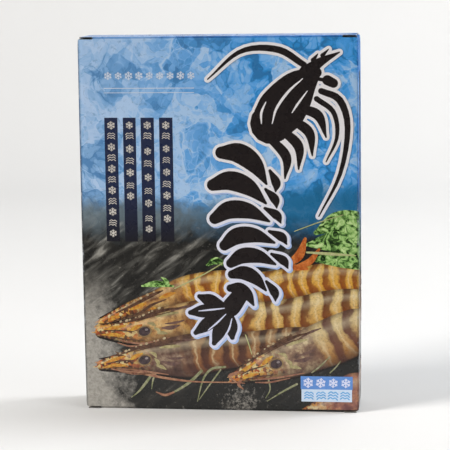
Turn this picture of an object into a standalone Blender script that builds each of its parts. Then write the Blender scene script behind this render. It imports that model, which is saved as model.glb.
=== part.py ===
"""A flat retail carton with tuck ends, shut and standing upright.

The carton is one closed solid. Metres, +Z up. The origin lies on the floor, under the
middle of the carton, and the big front panel faces -Y.
"""
import math

import bmesh
import bpy
from mathutils import Matrix, Vector

# Driving sizes, in metres
WIDTH = 0.184            # front panel, crease to crease
DEPTH = 0.036            # side panel, crease to crease
HEIGHT = 0.250           # lid to base, both shut
BOARD = 0.0005           # thickness of the folding board
FOLD_RADIUS = 0.0011     # outside radius of every fold
FRONT_BELLY = 0.0010     # the filled pack pushes the big panels out by this much
SIDE_BELLY = 0.0003      # and the narrow panels by this much
CREASE_BOW = 0.0004      # the upright creases bow out by this much at mid height
RIM_DROP = 0.0015        # front panel's cut edge, below the lid's top
EAR_LENGTH = 0.0095      # unfolded end of the lid, beside each slit lock
EAR_SLIT = 0.0025        # how far the slit under an ear runs back
LID_INSET = 0.0011       # lid's cut ends, inside the side panels' folds
CORNER_WEAR = 0.0007     # the rubbed corners draw in by this much
WEAR_REACH = 0.0045      # over this length from each corner

# Grid lines that let the flat panels curve
FRONT_COLUMNS = 12
SIDE_COLUMNS = 4
PANEL_ROWS = 16
FOLD_SEGMENTS = 4
WEAR_LINES = (1.0, 0.6, 0.3)   # extra lines near the corners, in shares of the worn length
CUT_DISTANCE = 1e-7            # points this near a grid line count as on it
SHARP_ANGLE = math.radians(35)

HALF_WIDTH = WIDTH / 2
HALF_DEPTH = DEPTH / 2
HALF_HEIGHT = HEIGHT / 2
CLEAR = 0.002            # how far a cutter stands out of the carton


def empty_scene():
    for thing in list(bpy.data.objects):
        bpy.data.objects.remove(thing, do_unlink=True)


def new_collection(name):
    collection = bpy.data.collections.new(name)
    bpy.context.scene.collection.children.link(collection)
    return collection


def varnished_board():
    """Printed and varnished folding board, mostly icy blue."""
    material = bpy.data.materials.new("varnished_board")
    material.use_nodes = True
    shader = material.node_tree.nodes["Principled BSDF"]
    shader.inputs["Base Color"].default_value = (0.10, 0.24, 0.45, 1.0)
    shader.inputs["Roughness"].default_value = 0.38
    shader.inputs["Metallic"].default_value = 0.0
    return material


def slice_panels(mesh, axis, positions):
    """Cut the mesh across one axis at each position, so that its panels can bend there."""
    normal = Vector((0.0, 0.0, 0.0))
    normal[axis] = 1.0
    for position in positions:
        everything = mesh.verts[:] + mesh.edges[:] + mesh.faces[:]
        bmesh.ops.bisect_plane(mesh, geom=everything, plane_co=normal * position,
                               plane_no=normal, dist=CUT_DISTANCE)


def even_steps(half, count):
    return [half * (2 * step / count - 1) for step in range(1, count)]


def fall_off(offset, half):
    """1 at the middle of a panel, 0 at its edge."""
    return max(0.0, 1.0 - (offset / half) ** 2)


def nearness(offset, half, reach):
    """0 away from an edge, rising smoothly to 1 on it."""
    share = min(1.0, max(0.0, (abs(offset) - (half - reach)) / reach))
    return share * share


def belly(point):
    """Where a point of the straight box goes once the pack is filled and handled."""
    upright = fall_off(point.z, HALF_HEIGHT)
    out_x = (CREASE_BOW + SIDE_BELLY * fall_off(point.y, HALF_DEPTH)) * upright
    out_y = FRONT_BELLY * fall_off(point.x, HALF_WIDTH) * upright
    rubbed = CORNER_WEAR * nearness(point.z, HALF_HEIGHT, WEAR_REACH)
    out_x -= rubbed * nearness(point.x, HALF_WIDTH, WEAR_REACH)
    return Vector((point.x * (1 + out_x / HALF_WIDTH),
                   point.y * (1 + out_y / HALF_DEPTH),
                   point.z))


def filled_box(name, collection):
    """The carton's outer form: a box with rounded folds and swollen panels."""
    mesh = bmesh.new()
    size = Matrix.Diagonal((WIDTH, DEPTH, HEIGHT, 1.0))
    bmesh.ops.create_cube(mesh, size=1.0, matrix=size)
    bmesh.ops.bevel(mesh, geom=mesh.edges[:], offset=FOLD_RADIUS, segments=FOLD_SEGMENTS,
                    profile=0.5, affect="EDGES")
    slice_panels(mesh, 0, even_steps(HALF_WIDTH, FRONT_COLUMNS))
    slice_panels(mesh, 1, even_steps(HALF_DEPTH, SIDE_COLUMNS))
    slice_panels(mesh, 2, even_steps(HALF_HEIGHT, PANEL_ROWS))
    for share in WEAR_LINES:
        for side in (-1, 1):
            slice_panels(mesh, 0, [side * (HALF_WIDTH - share * WEAR_REACH)])
            slice_panels(mesh, 2, [side * (HALF_HEIGHT - share * WEAR_REACH)])
    for vertex in mesh.verts:
        vertex.co = belly(vertex.co) + Vector((0.0, 0.0, HALF_HEIGHT))
    bmesh.ops.recalc_face_normals(mesh, faces=mesh.faces[:])
    data = bpy.data.meshes.new(name)
    mesh.to_mesh(data)
    mesh.free()
    data.shade_smooth()
    data.set_sharp_from_angle(angle=SHARP_ANGLE)
    box = bpy.data.objects.new(name, data)
    collection.objects.link(box)
    return box


def seam_cutter(name, low, high, collection):
    """A box between two corners that cuts a seam, or its mirror, out of the carton."""
    mesh = bmesh.new()
    low, high = Vector(low), Vector(high)
    place = Matrix.Translation((low + high) / 2) @ Matrix.Diagonal((*(high - low), 1.0))
    bmesh.ops.create_cube(mesh, size=1.0, matrix=place)
    bmesh.ops.recalc_face_normals(mesh, faces=mesh.faces[:])
    data = bpy.data.meshes.new(name)
    mesh.to_mesh(data)
    mesh.free()
    cutter = bpy.data.objects.new(name, data)
    cutter.display_type = "WIRE"
    cutter.hide_render = True
    collection.objects.link(cutter)


def end_heights(end, from_top, to_top):
    """Heights measured from the lid's top, or mirrored for the base."""
    heights = (HEIGHT - from_top, HEIGHT - to_top) if end == "lid" else (to_top, from_top)
    return min(heights), max(heights)


def cut_closure(end, collection):
    """The seams of one tuck closure: the fold behind the front panel's cut edge, the
    slit under each ear, and the cut ends of the lid."""
    front = -HALF_DEPTH
    low, high = end_heights(end, RIM_DROP, -CLEAR)
    fold_end = HALF_WIDTH - EAR_LENGTH
    seam_cutter(f"{end}_tuck_fold", (-fold_end, front - CLEAR, low),
                (fold_end, front + BOARD, high), collection)
    slit_low, slit_high = end_heights(end, RIM_DROP, BOARD)
    inset_low, inset_high = end_heights(end, BOARD, -CLEAR)
    for side, side_name in ((-1, "left"), (1, "right")):
        ends = sorted((side * fold_end, side * (HALF_WIDTH + CLEAR)))
        seam_cutter(f"{end}_{side_name}_ear_slit", (ends[0], front - CLEAR, slit_low),
                    (ends[1], front + EAR_SLIT, slit_high), collection)
        ends = sorted((side * (HALF_WIDTH - LID_INSET), side * (HALF_WIDTH + CLEAR)))
        seam_cutter(f"{end}_{side_name}_lid_end", (ends[0], front - CLEAR, inset_low),
                    (ends[1], HALF_DEPTH - FOLD_RADIUS, inset_high), collection)


def build():
    empty_scene()
    parts = new_collection("frozen_prawn_carton")
    cutters = new_collection("seam_cutters")
    carton = filled_box("carton", parts)
    carton.data.materials.append(varnished_board())
    for end in ("lid", "base"):
        cut_closure(end, cutters)
    seams = carton.modifiers.new("seams", "BOOLEAN")
    seams.operation = "DIFFERENCE"
    seams.solver = "EXACT"
    seams.operand_type = "COLLECTION"
    seams.collection = cutters


build()
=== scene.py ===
"""Looks of a shut folding carton for frozen prawns: printed, varnished half-millimetre board.

The board is modelled as the folded blank that it is. Each print colour is a thin shape that
follows the board. Lengths inside the drawing functions are millimetres; meshes are metres.
"""

import math

import bmesh
import bpy
from mathutils import Matrix, Vector
from mathutils.geometry import delaunay_2d_cdt


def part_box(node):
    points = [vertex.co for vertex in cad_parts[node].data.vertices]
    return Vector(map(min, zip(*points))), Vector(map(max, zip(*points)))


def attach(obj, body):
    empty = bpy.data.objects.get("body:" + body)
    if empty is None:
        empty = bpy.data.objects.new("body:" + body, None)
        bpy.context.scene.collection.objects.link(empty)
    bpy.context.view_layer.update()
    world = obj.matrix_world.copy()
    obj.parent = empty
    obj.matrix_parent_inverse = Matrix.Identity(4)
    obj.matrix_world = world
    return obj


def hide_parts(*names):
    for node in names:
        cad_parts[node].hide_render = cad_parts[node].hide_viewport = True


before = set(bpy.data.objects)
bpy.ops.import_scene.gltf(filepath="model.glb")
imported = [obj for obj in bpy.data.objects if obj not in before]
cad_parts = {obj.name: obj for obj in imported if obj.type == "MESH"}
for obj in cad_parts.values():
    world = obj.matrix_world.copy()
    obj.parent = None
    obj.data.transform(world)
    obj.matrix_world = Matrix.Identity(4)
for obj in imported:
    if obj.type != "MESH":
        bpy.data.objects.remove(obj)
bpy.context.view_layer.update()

MM = 0.001

# ---------------------------------------------------------------- sizes, from the solid
FRONT_SWELL = 1.0          # how far the solid's big panels swell
SIDE_SWELL = 0.7           # and its narrow panels, with the bow of the creases
solid_low, solid_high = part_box("carton")
WIDTH = (solid_high.x - solid_low.x) / MM - 2 * SIDE_SWELL
DEPTH = (solid_high.y - solid_low.y) / MM - 2 * FRONT_SWELL
HEIGHT = solid_high.z / MM
HALF_W, HALF_D, HALF_H = WIDTH / 2, DEPTH / 2, HEIGHT / 2
GIRTH = 2 * (WIDTH + DEPTH)

# The board stays a little inside the solid, so that the print on it does too
BOARD = 0.5                # thickness of the folding board
FOLD = 1.1                 # outside radius of the creases
RUBBED = 0.4               # this near an edge, the varnish is worn most
BIG_BELLY = 0.66
NARROW_BELLY = 0.2
CREASE_BOW = 0.3
RIPPLE = 0.16              # shallow hollows left by handling
CORNER_WEAR = 0.7
WEAR_REACH = 4.5
RIM_DROP = 1.5             # front panel's cut edge, below the lid
FOLD_START = 1.8           # where the side and back panels start to turn in
DUST_FOLD = 1.0            # radius of the dust flaps' folds
DUST_RELIEF = 2.5          # dust flap's cut, inside each corner
DUST_LENGTH = 14.0
EAR = 9.5                  # unfolded end of the lid
EAR_CUT = 0.4              # width of the cut that frees an ear
EAR_SHORT = 0.1            # the ears stop this far inside the front face
TUCK_GAP = 0.2             # between the tuck flap and the front panel
TUCK_LENGTH = 14.0
LID_SAG = 0.25
CELL = 3.5                 # size of the board's grid
WELD = 0.02                # points nearer than this become one
SNAP = 1e-6                # and places this near count as the same
SMOOTH_ANGLE = 35          # degrees; sharper edges stay crisp


# ---------------------------------------------------------------- the board's form
def fall_off(offset, half):
    """1 at the middle of a panel, 0 at its edge."""
    return max(0.0, 1.0 - (offset / half) ** 2)


def nearness(offset, half, reach):
    """0 away from an edge, rising to 1 on it."""
    share = min(1.0, max(0.0, (abs(offset) - (half - reach)) / reach))
    return share * share


def swollen(x, y, z):
    """A point of the straight box, in millimetres, moved by the filling and by handling."""
    upright = fall_off(z - HALF_H, HALF_H)
    out_x = (CREASE_BOW + NARROW_BELLY * fall_off(y, HALF_D)) * upright
    out_y = BIG_BELLY * fall_off(x, HALF_W) * upright
    rubbed = CORNER_WEAR * nearness(z - HALF_H, HALF_H, WEAR_REACH)
    out_x -= rubbed * nearness(x, HALF_W, WEAR_REACH)
    return Vector((x * (1 + out_x / HALF_W), y * (1 + out_y / HALF_D), z)) * MM


def ripple(local, span, z):
    """Depth of the shallow hollows in a panel, none of them along its creases."""
    wave = math.sin(local / 13.0 + z / 29.0) + math.sin(z / 17.0 - local / 37.0 + 1.3)
    calm = fall_off(local - span / 2, span / 2) * fall_off(z - HALF_H, HALF_H)
    return RIPPLE * (0.5 + wave / 4) * calm


BACK_START, LAST_START = WIDTH + DEPTH, 2 * WIDTH + DEPTH
PANELS = (  # start round the girth, length, first corner, way along, way out
    (0.0, WIDTH, (-HALF_W, -HALF_D), (1, 0), (0, -1)),
    (WIDTH, DEPTH, (HALF_W, -HALF_D), (0, 1), (1, 0)),
    (BACK_START, WIDTH, (HALF_W, HALF_D), (-1, 0), (0, 1)),
    (LAST_START, DEPTH, (-HALF_W, HALF_D), (0, -1), (-1, 0)),
)


def round_the_girth(s, z, lift=0.0):
    """A point of the printed face: s round the carton from the front panel's left crease,
    seen from outside, z up, and lift off the board."""
    s %= GIRTH
    start, span, corner, along, out = [p for p in PANELS if p[0] <= s + SNAP][-1]
    local = s - start
    turn = 0.0
    if local > span - FOLD:
        turn = (local - (span - FOLD)) / FOLD * math.pi / 4
    elif local < FOLD:
        turn = -(FOLD - local) / FOLD * math.pi / 4
    flat = min(max(local, FOLD), span - FOLD)
    corner, along, out = Vector(corner), Vector(along), Vector(out)
    normal = out * math.cos(turn) + along * math.sin(turn)
    centre = corner + along * flat - out * FOLD
    point = centre + normal * (FOLD + lift - ripple(local, span, z))
    return swollen(point.x, point.y, z)


def steps(start, end, cell, *wanted):
    """Positions from start to end, about a cell apart, with the wanted ones among them."""
    stops = sorted({start, end, *wanted})
    found = [start]
    for a, b in zip(stops, stops[1:]):
        count = max(1, round((b - a) / cell))
        found += [a + (b - a) * k / count for k in range(1, count + 1)]
    return found


def weld_grid(mesh, rows):
    """Faces between rows of points."""
    made = [[mesh.verts.new(point) for point in row] for row in rows]
    for lower, upper in zip(made, made[1:]):
        for a, b, c, d in zip(lower, lower[1:], upper[1:], upper):
            mesh.faces.new((a, b, c, d))


def crease_steps(start):
    """The stations of a rounded crease, whose corner is at start."""
    return [start + FOLD * share for share in (-1, -0.6, -0.2, 0.2, 0.6, 1)]


FRONT_STOPS = steps(FOLD, WIDTH - FOLD, CELL)
SIDE_STOPS = steps(FOLD, DEPTH - FOLD, CELL, DUST_RELIEF, DEPTH - DUST_RELIEF)
LID_STOPS = steps(FOLD, WIDTH - FOLD, CELL, EAR, EAR + EAR_CUT,
                  WIDTH - EAR - EAR_CUT, WIDTH - EAR)
FOLD_FACETS = 5
FOLD_TURNS = [math.pi / 2 * k / FOLD_FACETS for k in range(1, FOLD_FACETS + 1)]


def sleeve(mesh):
    """The four panels and their creases, as one tube."""
    stops = []
    for (start, *_), inner in zip(PANELS, (FRONT_STOPS, SIDE_STOPS, LID_STOPS, SIDE_STOPS)):
        stops += [stop % GIRTH for stop in crease_steps(start)[1:-1]]
        stops += [start + local for local in inner]
    stops.sort()
    stops.append(stops[0] + GIRTH)
    heights = steps(FOLD_START, HEIGHT - FOLD_START, CELL)
    weld_grid(mesh, [[round_the_girth(s, z) for s in stops] for z in heights])


def closure(mesh, at_top):
    """The rims, the lid with its tuck flap and ears, and the two dust flaps of one end."""

    def level(drop):
        return HEIGHT - drop if at_top else drop

    def end_point(x, y, drop):
        return swollen(x, y, level(drop))

    front = [*crease_steps(0.0)[3:5], *FRONT_STOPS, *crease_steps(WIDTH)[1:3]]
    weld_grid(mesh, [[round_the_girth(s, level(d)) for s in front]
                     for d in (FOLD_START, RIM_DROP)])

    # The lid: up the back, over its fold, across the top
    columns = [HALF_W - local for local in LID_STOPS]
    rows = [[round_the_girth(BACK_START + local, level(d)) for local in LID_STOPS]
            for d in (FOLD_START, FOLD)]
    for turn in FOLD_TURNS:
        y = HALF_D - FOLD + FOLD * math.cos(turn)
        rows.append([end_point(x, y, FOLD - FOLD * math.sin(turn)) for x in columns])
    tuck_face = -HALF_D + BOARD + TUCK_GAP
    fold_from = tuck_face + FOLD
    lid_depths = steps(fold_from, HALF_D - FOLD, CELL)
    middle = (fold_from + HALF_D - FOLD) / 2
    half = (HALF_D - FOLD - fold_from) / 2
    for y in reversed(lid_depths[:-1]):
        sag = LID_SAG * fall_off(y - middle, half)
        rows.append([end_point(x, y, sag * fall_off(x, HALF_W - FOLD)) for x in columns])
    weld_grid(mesh, rows)

    # The tuck flap, behind the front panel, between the two ears
    inner = [x for x in columns if abs(x) <= HALF_W - EAR - EAR_CUT + SNAP]
    rows = [[end_point(x, fold_from, 0.0) for x in inner]]
    for turn in FOLD_TURNS:
        y = fold_from - FOLD * math.sin(turn)
        rows.append([end_point(x, y, FOLD - FOLD * math.cos(turn)) for x in inner])
    for drop in steps(FOLD, TUCK_LENGTH, CELL)[1:]:
        rows.append([end_point(x, tuck_face, drop) for x in inner])
    weld_grid(mesh, rows)

    # The ears run on flat, over the front panel's cut edge
    for side in (-1, 1):
        ear = [x for x in columns if x * side >= HALF_W - EAR - SNAP]
        weld_grid(mesh, [[end_point(x, y, 0.0) for x in ear]
                         for y in (fold_from, (fold_from - HALF_D) / 2, EAR_SHORT - HALF_D)])

    # The dust flaps, under the lid
    for start, side in ((WIDTH, 1), (LAST_START, -1)):
        kept = [c for c in SIDE_STOPS
                if DUST_RELIEF - SNAP <= c <= DEPTH - DUST_RELIEF + SNAP]
        rows = [[round_the_girth(start + c, level(FOLD_START)) for c in kept]]
        across = [(c - HALF_D) * side for c in kept]
        for turn in FOLD_TURNS:
            x = HALF_W - DUST_FOLD + DUST_FOLD * math.cos(turn)
            drop = FOLD_START - DUST_FOLD * math.sin(turn)
            rows.append([end_point(side * x, y, drop) for y in across])
        for x in steps(DUST_FOLD, DUST_LENGTH, CELL)[1:]:
            rows.append([end_point(side * (HALF_W - x), y, FOLD_START - DUST_FOLD)
                         for y in across])
        weld_grid(mesh, rows)


def finished(name, mesh, materials, smooth=SMOOTH_ANGLE):
    """A bmesh becomes an object, shaded smooth up to an angle."""
    data = bpy.data.meshes.new(name)
    mesh.to_mesh(data)
    mesh.free()
    for material in materials:
        data.materials.append(material)
    data.shade_smooth()
    data.set_sharp_from_angle(angle=math.radians(smooth))
    piece = bpy.data.objects.new(name, data)
    bpy.context.scene.collection.objects.link(piece)
    return piece


def applied(piece):
    """Turns the evaluated piece into a plain mesh and takes its modifiers off. Cut edges
    stay crisp."""
    graph = bpy.context.evaluated_depsgraph_get()
    data = bpy.data.meshes.new_from_object(piece.evaluated_get(graph))
    piece.modifiers.clear()
    piece.data = data
    data.shade_smooth()
    data.set_sharp_from_angle(angle=math.radians(SMOOTH_ANGLE))
    return piece


def folded_board(materials):
    """The whole blank, folded and shut: one sheet, half a millimetre thick."""
    mesh = bmesh.new()
    sleeve(mesh)
    closure(mesh, at_top=True)
    closure(mesh, at_top=False)
    bmesh.ops.remove_doubles(mesh, verts=mesh.verts[:], dist=WELD * MM)
    bmesh.ops.recalc_face_normals(mesh, faces=mesh.faces[:])
    mesh.faces.ensure_lookup_table()
    front = min(mesh.faces, key=lambda f: f.calc_center_median().y)
    if front.normal.y > 0:
        bmesh.ops.reverse_faces(mesh, faces=mesh.faces[:])
    board = finished("folded_board", mesh, materials)
    wall = board.modifiers.new("board thickness", "SOLIDIFY")
    wall.thickness = BOARD * MM
    wall.offset = -1.0
    wall.use_even_offset = True
    wall.material_offset = 1
    wall.material_offset_rim = 2
    return applied(board)


# ---------------------------------------------------------------- colour and nodes
def ink(text):
    """An sRGB hex colour, as linear red, green, blue and alpha."""
    parts = [int(text[k:k + 2], 16) / 255 for k in (1, 3, 5)]
    return tuple(c / 12.92 if c <= 0.04045 else ((c + 0.055) / 1.055) ** 2.4
                 for c in parts) + (1.0,)


def add_node(tree, kind, inputs=None, stops=None, **settings):
    """Adds a node, sets it up, and links or fills its inputs. stops are a ramp's colours."""
    node = tree.nodes.new(kind)
    for key, value in settings.items():
        setattr(node, key, value)
    if stops:
        ramp = node.color_ramp
        while len(ramp.elements) < len(stops):
            ramp.elements.new(0.5)
        for element, (place, colour) in zip(ramp.elements, stops):
            element.position = place
            element.color = ink(colour)
    for key, value in (inputs or {}).items():
        if isinstance(value, bpy.types.NodeSocket):
            tree.links.new(value, node.inputs[key])
        elif isinstance(value, str):
            node.inputs[key].default_value = ink(value)
        else:
            node.inputs[key].default_value = value
    return node


A, B, MIXED = 6, 7, 2      # the colour sockets of a Mix node


def new_material(name):
    material = bpy.data.materials.new(name)
    material.use_nodes = True
    tree = material.node_tree
    return material, tree, tree.nodes["Principled BSDF"]


def millimetres(tree):
    """The place on the piece, in millimetres, so that every pattern's scale is a real size."""
    place = add_node(tree, "ShaderNodeTexCoord").outputs["Object"]
    scaled = add_node(tree, "ShaderNodeVectorMath", {0: place, "Scale": 1 / MM},
                      operation="SCALE")
    return scaled.outputs["Vector"]


def near_creases(tree, split):
    """1 where two of the carton's faces meet, 0 from where the fold's rounding ends."""
    ends = []
    for axis, middle, half in (("X", 0.0, HALF_W), ("Y", 0.0, HALF_D), ("Z", HALF_H, HALF_H)):
        offset = add_node(tree, "ShaderNodeMath", {0: split.outputs[axis], 1: middle},
                          operation="SUBTRACT")
        reach = add_node(tree, "ShaderNodeMath", {0: offset.outputs[0]},
                         operation="ABSOLUTE")
        ends.append(add_node(tree, "ShaderNodeMapRange", {"Value": reach.outputs[0],
                             "From Min": half - FOLD, "From Max": half - RUBBED}
                             ).outputs["Result"])
    pairs = [add_node(tree, "ShaderNodeMath", {0: a, 1: b}, operation="MULTIPLY").outputs[0]
             for a, b in (ends[:2], ends[1:], (ends[0], ends[2]))]
    most = add_node(tree, "ShaderNodeMath", {0: pairs[0], 1: pairs[1]}, operation="MAXIMUM")
    return add_node(tree, "ShaderNodeMath", {0: most.outputs[0], 1: pairs[2]},
                    operation="MAXIMUM").outputs[0]


def varnish(tree, shader, place, colour):
    """Press varnish over print: a soft gloss with faint mottling, on board whose fibres and
    calendering still show as a very low orange peel. Along the creases the varnish is cracked
    and dull, and specks of pale board show through the ink. The narrow panels and the lid are
    darkened with painted shade, and so are the left panel and the front's left crease."""
    split = add_node(tree, "ShaderNodeSeparateXYZ", {0: place})
    x, y, z = (split.outputs[axis] for axis in "XYZ")
    creases = near_creases(tree, split)
    beside = add_node(tree, "ShaderNodeMath", {0: x}, operation="ABSOLUTE").outputs[0]
    rub = add_node(tree, "ShaderNodeTexNoise", {"Vector": place, "Scale": 1 / 5, "Detail": 6.0,
                   "Roughness": 0.75}).outputs["Fac"]
    cloud = add_node(tree, "ShaderNodeTexNoise", {"Vector": place, "Scale": 1 / 9,
                     "Detail": 3.0}).outputs["Fac"]
    share = {}
    for name, value, start, end, least, most in (
            ("broken", rub, 0.52, 0.68, 0.0, 0.6),
            # narrow and lid: the narrow panels and the lid's fold, darkened as painted shade
            ("narrow", beside, HALF_W - 0.9, HALF_W - 0.3, 0.0, 0.8),
            ("lid", z, HEIGHT - 1.5, HEIGHT - 0.9, 0.0, 0.9),
            ("high_up", z, 100.0, 140.0, 0.0, 1.0),
            # left and outermost: the left panel and the front's left crease darkened, painted
            # shade
            ("left", x, 0.2 - HALF_W, 1.8 - HALF_W, 0.8, 0.0),
            ("outermost", x, 0.2 - HALF_W, 1.0 - HALF_W, 0.8, 0.0),
            ("ahead", y, 0.9 - HALF_D, 1.6 - HALF_D, 1.0, 0.0),
            ("gloss", cloud, 0.3, 0.7, 0.24, 0.33)):
        share[name] = add_node(tree, "ShaderNodeMapRange", {"Value": value, "From Min": start,
                               "From Max": end, "To Min": least, "To Max": most}
                               ).outputs["Result"]
    for name, first, second, joined in (("worn", creases, share["broken"], "MULTIPLY"),
                                        ("painted_shade", share["narrow"], share["lid"], "MAXIMUM"),
                                        ("painted_crease_shade", share["outermost"], share["ahead"],
                                         "MULTIPLY")):
        share[name] = add_node(tree, "ShaderNodeMath", {0: first, 1: second},
                               operation=joined).outputs[0]
    # the painted shade's tint: greyer on the slate low down, bluer on the ice high up
    shade_tint = add_node(tree, "ShaderNodeMix", {0: share["high_up"], A: "#B0AFAD", B: "#8FAECC"},
                    data_type="RGBA").outputs[MIXED]
    # multiplied painted shade on the narrow panels, lid, left panel and front's left crease; then
    # real crease wear
    for name, layer, blend in (("painted_shade", shade_tint, "MULTIPLY"), ("left", "#A3A9AE", "MULTIPLY"),
                               ("painted_crease_shade", "#8A9298", "MULTIPLY"), ("worn", "#B9C0C8", "MIX")):
        colour = add_node(tree, "ShaderNodeMix", {0: share[name], A: colour, B: layer},
                          data_type="RGBA", blend_type=blend).outputs[MIXED]
    tree.links.new(colour, shader.inputs["Base Color"])
    dull = add_node(tree, "ShaderNodeMath", {0: creases, 1: 0.34, 2: share["gloss"]},
                    operation="MULTIPLY_ADD")
    tree.links.new(dull.outputs[0], shader.inputs["Roughness"])
    fibre = add_node(tree, "ShaderNodeTexNoise", {"Vector": place, "Scale": 1 / 0.7,
                     "Detail": 4.0, "Roughness": 0.6})
    bump = add_node(tree, "ShaderNodeBump", {"Height": fibre.outputs["Fac"], "Strength": 0.12,
                    "Distance": 0.05 * MM})
    tree.links.new(bump.outputs["Normal"], shader.inputs["Normal"])
    shader.inputs["IOR"].default_value = 1.40


# ---------------------------------------------------------------- materials
SHADED_ICE = ((0.30, "#5C8DC0"), (0.42, "#72A1D2"), (0.55, "#8BB5E1"), (0.68, "#A2C5EC"),
              (0.84, "#B6D1F3"))
AZURE_ICE = ((0.30, "#327AB6"), (0.43, "#3692D8"), (0.57, "#54A6EE"), (0.70, "#82BCF4"),
             (0.85, "#ABD0F6"))
SLATE = ((0.36, "#242423"), (0.50, "#302F2D"), (0.60, "#54534F"), (0.72, "#9C9A93"))
DRY_STONE = ((0.32, "#7E7B76"), (0.45, "#98958E"), (0.56, "#A8A49D"), (0.72, "#BCB8B0"))


def ice_tone(tree, place, cloud):
    """How pale the ice is: lumps about 26 mm across, chips of 11 and 5 mm on them, clouds
    within, and seams between them that are now dark, now bright."""
    tone = add_node(tree, "ShaderNodeMath", {0: cloud, 1: 0.50, 2: -0.04},
                    operation="MULTIPLY_ADD").outputs[0]
    kind = add_node(tree, "ShaderNodeTexNoise", {"Vector": place, "Scale": 1 / 30})
    for size, weight, reach, deepest, palest in ((26, 0.34, 0.06, -0.22, 0.26),
                                                 (11, 0.28, 0.06, -0.18, 0.20),
                                                 (5, 0.20, 0.09, -0.12, 0.14)):
        lump = add_node(tree, "ShaderNodeTexVoronoi", {"Vector": place, "Scale": 1 / size,
                        "Smoothness": 0.02}, feature="SMOOTH_F1")
        own = add_node(tree, "ShaderNodeSeparateColor", {0: lump.outputs["Color"]})
        tone = add_node(tree, "ShaderNodeMath", {0: own.outputs[0], 1: weight, 2: tone},
                        operation="MULTIPLY_ADD").outputs[0]
        edge = add_node(tree, "ShaderNodeTexVoronoi", {"Vector": place, "Scale": 1 / size},
                        feature="DISTANCE_TO_EDGE")
        seam = add_node(tree, "ShaderNodeMapRange", {"Value": edge.outputs["Distance"],
                        "From Min": 0.0, "From Max": reach, "To Min": 1.0, "To Max": 0.0},
                        interpolation_type="SMOOTHSTEP")
        shine = add_node(tree, "ShaderNodeMapRange", {"Value": kind.outputs["Fac"],
                         "From Min": 0.35, "From Max": 0.65, "To Min": deepest,
                         "To Max": palest})
        tone = add_node(tree, "ShaderNodeMath", {0: seam.outputs["Result"],
                        1: shine.outputs["Result"], 2: tone},
                        operation="MULTIPLY_ADD").outputs[0]
    return tone


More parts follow.
